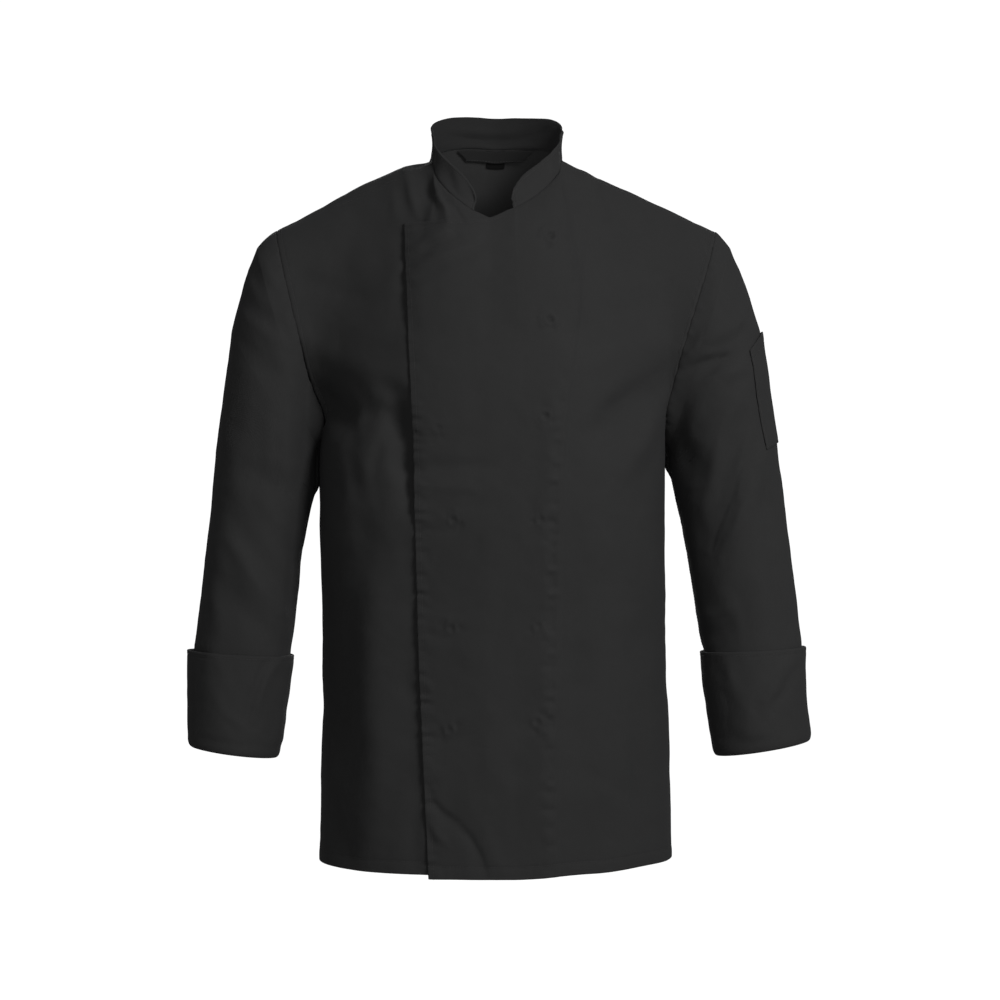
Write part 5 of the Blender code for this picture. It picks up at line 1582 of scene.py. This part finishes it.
class JacketSettings(bpy.types.PropertyGroup):
    """Sizes and colours of the jacket."""

    cloth_colour: colour_setting("Cloth", "Colour of the twill", 0.028)
    tape_colour: colour_setting("Tape", "Colour of the hanger loop", 0.014)
    label_colour: colour_setting("Label", "Colour of the bare size label", 0.003)
    thread_colour: colour_setting("Thread", "Colour of the sewing thread", 0.029)
    stage_colour: colour_setting("Studio", "Colour of the floor and backdrop", 0.9)
    rib: length_setting("Twill rib", "Distance between the slanting ribs", 0.0009, 0.0003, 0.003)
    rib_depth: length_setting("Rib depth", "Depth of the weave", 0.00008, 0.0, 0.0005, 6)
    stitch_pitch: length_setting("Stitch pitch", "From one stitch to the next", 0.0032, 0.002, 0.006)
    stitch_length: length_setting("Stitch length", "Length of thread that shows", 0.0024, 0.001, 0.005)
    thread_thickness: length_setting("Thread", "Thickness of the thread", 0.0005, 0.0002, 0.001)


def add_cloth(name):
    """Adds a piece of the jacket in place of its packed wall."""
    settings = bpy.context.scene.chef_jacket
    cloth = jacket()[name]
    material, colour = "black_cotton_twill", settings.cloth_colour
    weave = (settings.rib, settings.rib_depth, CLOTH_LINT)
    if cloth.slot == "tape":
        material, colour, weave = "woven_tape", settings.tape_colour, TAPE_WEAVE
    if name == "size_label":
        material, colour = "label_satin", settings.label_colour
    look = material_once(material, twill_material, tuple(colour), *weave)
    thing = placed(name + "_cloth", cloth_mesh(cloth), look)
    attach(thing, BODY)
    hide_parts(name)


class JACKET_OT_body(bpy.types.Operator):
    """Add the two fronts and the back"""

    bl_idname = "jacket.body"
    bl_label = "Fronts and Back"

    def execute(self, context):
        add_cloth("back")
        add_cloth("front_right")
        add_cloth("front_left")
        return {"FINISHED"}


class JACKET_OT_collar(bpy.types.Operator):
    """Add the stand collar"""

    bl_idname = "jacket.collar"
    bl_label = "Collar"

    def execute(self, context):
        add_cloth("collar")
        return {"FINISHED"}


class JACKET_OT_sleeves(bpy.types.Operator):
    """Add the sleeves, their turned-back cuffs and the pen pocket"""

    bl_idname = "jacket.sleeves"
    bl_label = "Sleeves, Cuffs and Pocket"

    def execute(self, context):
        for side in ("right", "left"):
            add_cloth("sleeve_" + side)
            add_cloth("cuff_" + side)
        add_cloth("sleeve_pocket")
        return {"FINISHED"}


class JACKET_OT_neck_tapes(bpy.types.Operator):
    """Add the hanger loop and the bare size label inside the back neck"""

    bl_idname = "jacket.neck_tapes"
    bl_label = "Hanger Loop and Label"

    def execute(self, context):
        add_cloth("hanger_loop")
        add_cloth("size_label")
        return {"FINISHED"}


class JACKET_OT_stitching(bpy.types.Operator):
    """Sew the stitches along the edges of every piece"""

    bl_idname = "jacket.stitching"
    bl_label = "Stitching"

    def execute(self, context):
        settings = context.scene.chef_jacket
        thread = material_once("black_thread", thread_material, tuple(settings.thread_colour))
        tree = stitch_tree()
        for name, cloth in jacket().items():
            lines = cloth.stitch_lines(STITCH_LIFT)
            if not lines:
                continue
            thing = stitched_object(name + "_stitches", lines, tree, settings, thread)
            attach(thing, BODY)
        return {"FINISHED"}


class JACKET_OT_studio(bpy.types.Operator):
    """Add the pale floor and backdrop, the soft lights and the camera"""

    bl_idname = "jacket.studio"
    bl_label = "Studio"

    def execute(self, context):
        settings = context.scene.chef_jacket
        add_stage(tuple(settings.stage_colour))
        for row in LIGHTS:
            add_light(*row)
        add_world()
        add_camera()
        return {"FINISHED"}


AIR_STRENGTH = 0.14  # how brightly the white surroundings shine
FLOOR_Z = -1.30
STAGE_RADIUS = 9.0
STAGE_BEND = 3.0
STAGE_TOP = 9.0
STAGE_BEND_STEPS = 16
STAGE_SIDES = 64

# name, place, what it points at, width and height, power in watts
LIGHTS = (
    ("key", (1.50, -2.19, 0.92), (0.0, 0.0, -0.35), (0.8, 1.0), 54.0),
    ("front", (0.00, -3.40, -0.45), (0.0, 0.0, -0.30), (1.0, 1.0), 13.0),
    ("left", (-1.90, -2.20, 0.30), (0.0, 0.0, -0.35), (1.2, 1.2), 2.5),
    ("neck", (0.004, -0.020, -0.050), (0.004, 0.066, -0.020), (0.05, 0.03), 0.016),
    ("rear", (0.00, 2.60, 0.50), (0.0, 0.0, -0.35), (1.6, 1.6), 40.0),
)


def add_stage(colour):
    """A round pale floor that bends up all round."""
    flat, top = STAGE_RADIUS - STAGE_BEND, FLOOR_Z + STAGE_BEND
    bend = np.linspace(0, math.pi / 2, STAGE_BEND_STEPS + 1)
    profile = [(flat + STAGE_BEND * math.sin(a), top - STAGE_BEND * math.cos(a)) for a in bend]
    profile.append((STAGE_RADIUS, STAGE_TOP))
    turns = STAGE_SIDES
    ways = [(math.cos(a), math.sin(a)) for a in 2 * math.pi * np.arange(turns) / turns]
    corners = [(0.0, 0.0, FLOOR_Z)] + [(out * x, out * y, z) for out, z in profile for x, y in ways]
    faces = [(0, 1 + k, 1 + (k + 1) % turns) for k in range(turns)]
    for low in range(1, 1 + turns * (len(profile) - 1), turns):
        for k in range(turns):
            after = low + (k + 1) % turns
            faces.append((low + k, low + turns + k, after + turns, after))
    mesh = bpy.data.meshes.new("studio_floor")
    mesh.from_pydata(corners, [], faces)
    mesh.shade_smooth()
    floor = placed("studio_floor", mesh, stage_material("studio_paper", colour))
    floor.visible_diffuse = False
    floor.visible_glossy = False


def add_light(name, place, aim, size, power):
    """A soft lamp that points its -Z at the aim, with its top up."""
    lamp = bpy.data.lights.new(name, "AREA")
    lamp.shape = "RECTANGLE"
    lamp.size, lamp.size_y = size
    lamp.energy = power
    thing = bpy.data.objects.new(name, lamp)
    thing.location = place
    x, y, z = np.array(aim) - place
    thing.rotation_euler = (math.atan2(math.hypot(x, y), -z), 0.0, math.atan2(-x, y))
    thing.visible_camera = False
    bpy.context.scene.collection.objects.link(thing)


def add_world():
    """White surroundings, and a view that keeps white as it is."""
    world = bpy.data.worlds.new("studio_air")
    world.use_nodes = True
    air = world.node_tree.nodes["Background"]
    air.inputs["Color"].default_value = (1.0, 1.0, 1.0, 1.0)
    air.inputs["Strength"].default_value = AIR_STRENGTH
    bpy.context.scene.world = world
    bpy.context.scene.view_settings.view_transform = "Standard"


def add_camera():
    lens = bpy.data.cameras.new("camera")
    lens.sensor_width = SENSOR_MM
    lens.lens = SENSOR_MM * -CAMERA_PLACE[1] / (1000 * PICTURE_SCALE)
    camera = bpy.data.objects.new("camera", lens)
    camera.location = CAMERA_PLACE
    camera.rotation_euler = (math.pi / 2, 0.0, 0.0)
    bpy.context.scene.collection.objects.link(camera)
    bpy.context.scene.camera = camera


class JACKET_PT_panel(bpy.types.Panel):
    """Lists the pieces of the jacket and their settings"""

    bl_idname = "JACKET_PT_panel"
    bl_label = "Chef Jacket"
    bl_space_type = "VIEW_3D"
    bl_region_type = "UI"
    bl_category = "Jacket"

    def draw(self, context):
        settings = context.scene.chef_jacket
        for name in JacketSettings.__annotations__:
            self.layout.prop(settings, name)
        for operator in OPERATORS:
            self.layout.operator(operator.bl_idname)


OPERATORS = (
    JACKET_OT_studio,
    JACKET_OT_body,
    JACKET_OT_collar,
    JACKET_OT_sleeves,
    JACKET_OT_neck_tapes,
    JACKET_OT_stitching,
)


def register():
    for item in (JacketSettings, *OPERATORS, JACKET_PT_panel):
        bpy.utils.register_class(item)
    bpy.types.Scene.chef_jacket = PointerProperty(type=JacketSettings)


def unregister():
    del bpy.types.Scene.chef_jacket
    for item in (JACKET_PT_panel, *reversed(OPERATORS), JacketSettings):
        bpy.utils.unregister_class(item)


def main():
    register()
    bpy.ops.jacket.studio()
    bpy.ops.jacket.body()
    bpy.ops.jacket.collar()
    bpy.ops.jacket.sleeves()
    bpy.ops.jacket.neck_tapes()
    bpy.ops.jacket.stitching()


if __name__ == "__main__":
    main()
